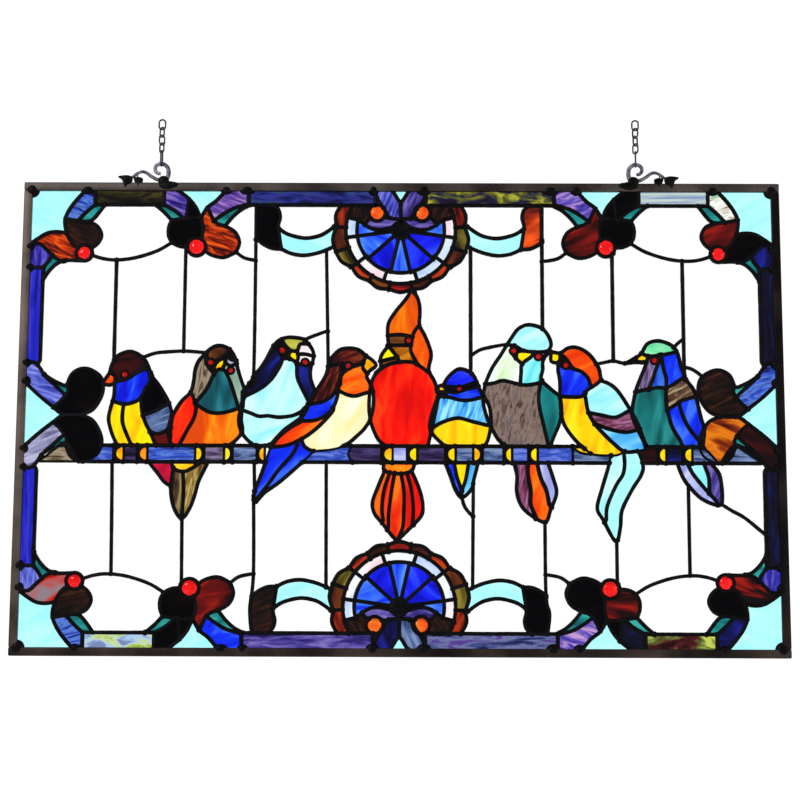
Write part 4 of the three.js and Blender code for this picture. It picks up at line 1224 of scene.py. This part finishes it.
# Jewels: pressed domes in a ring of solder, and the birds' bead eyes
def jewelObject(name, x, z, radius, kind):
    bpy.ops.mesh.primitive_uv_sphere_add(segments=40, ring_count=20, radius=radius * mm,
                                         location=place(x, z, jewel["set"]))
    dome = bpy.context.object
    dome.scale = (1, jewel["dome"], 1)
    bpy.ops.object.shade_smooth()
    return finished(dome, name, jewelKinds[kind])


for i, (x, z, radius, kind) in enumerate(jewelSpots()):
    jewelObject(f"jewel{i + 1}", x, z, radius + jewel["overlap"], kind)

eyeSpots = [(x, z, radius + eye["overlap"]) for bird in birds.values() for x, z, radius in bird["eyes"]]


def eyesObject(name, material, ringed):
    made = []
    for x, z, radius in eyeSpots:
        if ringed:
            bpy.ops.mesh.primitive_torus_add(major_segments=28, minor_segments=10,
                                             major_radius=(radius + eye["ring"]) * mm,
                                             minor_radius=eye["ringWire"] * mm,
                                             location=place(x, z, eye["ringSet"]),
                                             rotation=(math.pi / 2, 0, 0))
        else:
            bpy.ops.mesh.primitive_uv_sphere_add(segments=24, ring_count=12, radius=radius * mm,
                                                 location=place(x, z))
            bpy.context.object.scale = (1, eye["dome"], 1)
        bpy.ops.object.shade_smooth()
        made.append(bpy.context.object)
    return finished(joinAll(made), name, material)


eyesObject("eyes", eyeGlass, False)
eyesObject("eyeRings", solder, True)
print("jewels and eyes are set")


# Frame: zinc channel, bronzed and handled, with solder over the mitres and where lines meet it. The bars'
# tones differ by painted light and shade: the left and top bars are painted lighter and the bottom and right
# bars darker, as if lit from the upper left.
# Bronze tones of the four bars, each with painted light or shade: lightest on the left, then the top, then
# the bottom, darkest on the right
frameBronzeAndPaintedShade = {
    "frameTop": ["#2c2624", "#4c4440", "#665c56"],
    "frameBottom": ["#1c1614", "#322a26", "#4a3e38"],
    "frameLeft": ["#3c3430", "#5e534c", "#776a60"],
    "frameRight": ["#0c0a0a", "#1a1614", "#2e2622"],
}


def barObject(length, x, z, upright):
    bpy.ops.mesh.primitive_cube_add(size=1, location=place(x, z))
    bar = bpy.context.object
    face, depth = panel["frameFace"] * mm, panel["frameDepth"] * mm
    bar.scale = (face, depth, length * mm) if upright else (length * mm, depth, face)
    bpy.ops.object.transform_apply(location=False, rotation=False, scale=True)
    return applied(bar, "BEVEL", width=1.3 * mm, segments=3, limit_method="ANGLE")


def frameObjects():
    x = panel["halfWidth"] - panel["frameFace"] / 2
    z = panel["halfHeight"] - panel["frameFace"] / 2
    tall = 2 * (panel["halfHeight"] - panel["frameFace"])
    wide = 2 * panel["halfWidth"]
    bars = [("frameTop", wide, (0, z), False), ("frameBottom", wide, (0, -z), False),
            ("frameLeft", tall, (-x, 0), True), ("frameRight", tall, (x, 0), True)]
    for name, length, at, upright in bars:
        bar = barObject(length, *at, upright)
        bpy.ops.object.shade_smooth_by_angle(angle=math.radians(40))
        # Each bar gets its own copy of the bronze, made lighter or darker by painted light and shade
        metal = metalMaterial("bronzed_zinc_painted_shade_" + name[5:].lower(), frameBronzeAndPaintedShade[name], 0.35, 0.6, 14.0)
        finished(bar, name, metal, ["frame_" + name[5:].lower()])


frameObjects()


# Dark blobs of solder over the corners of the frame and where lines end on it
blob = {
    "inset": 3.4, "proud": 0.9, "cornerInset": 4, "cornerRadius": 8.4,
    "along": (-338, -187, -165, -28, 26, 160, 187, 336), "up": (183, 160, 56, 36),
}


def blobObject():
    halfX = panel["halfWidth"] - panel["frameFace"] / 2
    halfZ = panel["halfHeight"] - panel["frameFace"] / 2
    corner, inset = blob["cornerInset"], blob["inset"]
    blobs = [(sx * (halfX - corner), sz * (halfZ - corner), blob["cornerRadius"], blob["cornerRadius"])
             for sx in (-1, 1) for sz in (-1, 1)]
    for x in blob["along"]:
        for sz in (-1, 1):
            spot = x + random.uniform(-2, 2)
            blobs.append((spot, sz * (halfZ - inset), random.uniform(6, 9), random.uniform(5, 6.5)))
    for z in blob["up"]:
        for sx in (-1, 1):
            for sz in (-1, 1):
                blobs.append((sx * (halfX - inset), sz * z, random.uniform(5, 6.5), random.uniform(5, 7)))
    made = []
    for x, z, wide, tall in blobs:
        bpy.ops.mesh.primitive_uv_sphere_add(segments=24, ring_count=12, radius=mm, location=place(x, z))
        drop = bpy.context.object
        drop.scale = (wide, panel["frameDepth"] / 2 + blob["proud"], tall)
        bpy.ops.object.transform_apply(location=False, rotation=False, scale=True)
        bpy.ops.object.shade_smooth()
        made.append(drop)
    return finished(joinAll(made), "cornerSolder", solder)


blobObject()
print("frame is set")

# Hooks: cast scrolls curled round the lowest link, with a stem of two leaves
hookMetal = metalMaterial("pewter_casting", ["#484852", "#74747f", "#a0a0aa"], 0.35, 0.6, 180.0)
hook = {
    "left": -259.5, "right": 253.0, "top": 254.3,
    "curl": [(5.5, 2), (8, 10), (6.5, 17.5), (0.5, 21.3), (-5.5, 19), (-6.5, 14), (-4, 10.7), (-0.5, 10.2)],
    "stem": [(6, 2.6), (-3.5, 3.4), (-10.5, 7), (-16, 11), (-21, 12.2), (-27, 9.5), (-32, 6), (-45, 6)],
    "stalk": [(-24.6, 3.5), (-25.6, 8), (-24.5, 12)],
    "curlWidth": (5.4, 3.8), "stemWidth": (4.6, 2.8), "stalkWidth": (1.8, 1.6), "flat": 0.8, "curlFine": 3,
    "leafFine": 4, "leafFront": -3.9, "leafDepth": 3.4, "leafEdge": 0.6, "padFront": -3.2, "padDepth": 2.3,
    "pads": [(7.5, -3.5, 9.5, 4.8), (3, 1.5, 6, 5.5), (14, -3, 5, 3.4)],
    "leaves": [
        [(-46, 6.2), (-42.5, 3), (-40, -2.5), (-38.4, -6.5), (-36, -3.5), (-32, -1.5), (-30.5, 4.7),
         (-36, 7.5)],
        [(-29, 4.6), (-28.4, 0.4), (-26, -1.2), (-24.5, -4.6), (-22.6, -1.4), (-20, -0.4), (-19.4, 4),
         (-24.4, 5.6)],
    ],
}


def hookObject(side, sideways):
    middle = hook[side]

    def spot(point, y=0.0):
        return place(middle + sideways * point[0], hook["top"] + point[1], y)

    ways = []
    fine = hook["curlFine"]
    for key in ("curl", "stem", "stalk"):
        width = hook[key + "Width"]
        way = smooth([(x * fine, z * fine) for x, z in hook[key]])
        count = len(way) - 1
        radii = [(width[0] + (width[1] - width[0]) * i / count) / 2 for i in range(len(way))]
        ways.append(([spot((p.x / fine, p.y / fine)) for p in way], radii, False))
    made = [rods(ways, resolution=3)]
    for vertex in made[0].data.vertices:
        vertex.co.y *= hook["flat"]
    fine = hook["leafFine"]
    for leaf in hook["leaves"]:
        shape = bmesh.new()
        ring = smooth([(x * fine, z * fine) for x, z in leaf], closed=True)
        low = [shape.verts.new(spot((p.x / fine, p.y / fine), hook["leafFront"])) for p in ring]
        shape.faces.new(low)
        mesh = bpy.data.meshes.new("leaf")
        shape.to_mesh(mesh)
        shape.free()
        leafObject = addObject("leaf", mesh, [])
        selectOnly(leafObject)
        bpy.ops.object.mode_set(mode="EDIT")
        bpy.ops.mesh.select_all(action="SELECT")
        thick = (0, hook["leafDepth"] * mm, 0)
        bpy.ops.mesh.extrude_region_move(TRANSFORM_OT_translate={"value": thick})
        bpy.ops.mesh.select_all(action="SELECT")
        bpy.ops.mesh.normals_make_consistent(inside=False)
        bpy.ops.object.mode_set(mode="OBJECT")
        applied(leafObject, "BEVEL", width=hook["leafEdge"] * mm, segments=2, limit_method="ANGLE")
        made.append(leafObject)
    leaves = joinAll(made[1:])
    bpy.ops.object.shade_smooth_by_angle(angle=math.radians(50))
    finished(leaves, "hookLeaves" + side.title(), solder)
    selectOnly(made[0])
    bpy.ops.object.shade_smooth()
    finished(made[0], "hook" + side.title(), hookMetal, ["hook_" + side])
    pads = []
    for x, z, wide, tall in hook["pads"]:
        bpy.ops.mesh.primitive_uv_sphere_add(segments=32, ring_count=16, radius=mm,
                                             location=spot((x, z), hook["padFront"]))
        bpy.context.object.scale = (wide, hook["padDepth"], tall)
        bpy.ops.object.shade_smooth()
        pads.append(bpy.context.object)
    finished(joinAll(pads), "hookSolder" + side.title(), solder)


for side, sideways in (("left", 1), ("right", -1)):
    hookObject(side, sideways)

# Chains: bent wire links, each turned against the last
chainWire = metalMaterial("darkened_brass", ["#241c24", "#44384a", "#6c5c68"], 0.25, 0.45, 300.0)
link = {"radius": 3.45, "leg": 4.0, "wire": 1.9, "turn": 45, "count": 4, "gap": 0.3}
longLink = {"radius": 2.9, "leg": 11.2, "left": 78, "right": 84}


def linkObject(name, x, z, radius, leg, turn, node):
    points = []
    steps = 14
    for half in (0, 1):
        for i in range(steps + 1):
            angle = math.pi * (half + i / steps)
            rise = (1 - 2 * half) * leg / 2
            across = radius * math.cos(angle)
            points.append((across * math.cos(math.radians(turn)), across * math.sin(math.radians(turn)),
                           radius * math.sin(angle) + rise))
    way = [place(x + px, z + pz, py) for px, py, pz in points]
    ring = rods([(way, [link["wire"] / 2] * len(way), True)], resolution=3)
    bpy.ops.object.shade_smooth()
    finished(ring, name, chainWire, [node])


for side in ("left", "right"):
    x = hook[side]
    reach = link["radius"] + link["leg"] / 2
    bearing = panel["hang"]
    for i in range(link["count"]):
        turn = 0 if i == 0 else link["turn"] * (-1 if i % 2 else 1)
        middle = bearing - reach + link["wire"] / 2
        linkObject(f"{side}Link{i + 1}", x, middle, link["radius"], link["leg"], turn, f"link_{side}_{i + 1}")
        bearing = middle - reach + link["wire"] / 2 + link["gap"]
    reach = longLink["radius"] + longLink["leg"] / 2
    middle = bearing - reach + link["wire"] / 2
    linkObject(f"{side}LongLink", x, middle, longLink["radius"], longLink["leg"], longLink[side],
               f"link_{side}_long")
print("hooks and chains are set")


# Setting: even white light all round, a soft lamp at the upper left and a pale floor below
def setting():
    bpy.ops.mesh.primitive_plane_add(size=7, location=(0, 0, -0.98))
    floor = bpy.context.object
    floor.name = "floor"
    material, tree, shader = newMaterial("pale_floor")
    spot = addNode(tree, "TexCoord").outputs["Object"]
    cloud = addNode(tree, "TexNoise", {"Vector": spot, "Scale": 2.0}).outputs["Fac"]
    tree.links.new(ramp(tree, cloud, ["#f2f2f0", "#f6f6f4"]), shader.inputs["Base Color"])
    shader.inputs["Roughness"].default_value = 0.9
    floor.data.materials.append(material)
    world = bpy.data.worlds.new("studio")
    world.use_nodes = True
    sky = world.node_tree
    way = addNode(sky, "TexCoord").outputs["Generated"]
    depth = addNode(sky, "SeparateXYZ", {"Vector": way}).outputs["Y"]
    share = addNode(sky, "MapRange", {"Value": depth, "From Min": -0.5, "From Max": 0.15, "To Min": 0.0,
                                      "To Max": 1.0}).outputs["Result"]
    light = ramp(sky, share, ["#a4a4a8", "#ffffff"], 0.0, 1.0)
    sky.links.new(light, sky.nodes["Background"].inputs["Color"])
    sky.nodes["Background"].inputs["Strength"].default_value = 1.08
    bpy.context.scene.world = world
    bpy.context.scene.view_settings.view_transform = "Standard"
    lamps = (("keyLamp", (-1.3, -1.9, 0.7), 0.7, 14), ("fillLamp", (1.6, -1.6, -0.1), 1.2, 5))
    for name, at, size, energy in lamps:
        lamp = bpy.data.lights.new(name, "AREA")
        lamp.size = size
        lamp.energy = energy
        lampObject = bpy.data.objects.new(name, lamp)
        bpy.context.scene.collection.objects.link(lampObject)
        lampObject.location = at
        aim = Vector((0, 0, -0.3)) - Vector(at)
        lampObject.rotation_euler = aim.to_track_quat("-Z", "Y").to_euler()


view = {"x": 12.7, "away": 2200.0, "z": -689.0, "pan": -0.006, "tilt": 0.1719, "roll": 0.0039, "lens": 94.8}


def cameraObject():
    data = bpy.data.cameras.new("camera")
    data.lens = view["lens"]
    data.sensor_width = 36
    camera = bpy.data.objects.new("camera", data)
    bpy.context.scene.collection.objects.link(camera)
    turn = (Matrix.Rotation(-view["pan"], 4, "Z") @ Matrix.Rotation(math.pi / 2 + view["tilt"], 4, "X")
            @ Matrix.Rotation(view["roll"], 4, "Z"))
    at = Vector((view["x"] * mm, -view["away"] * mm, view["z"] * mm))
    camera.matrix_world = Matrix.Translation(at) @ turn
    bpy.context.scene.camera = camera


setting()
cameraObject()
bpy.context.view_layer.update()
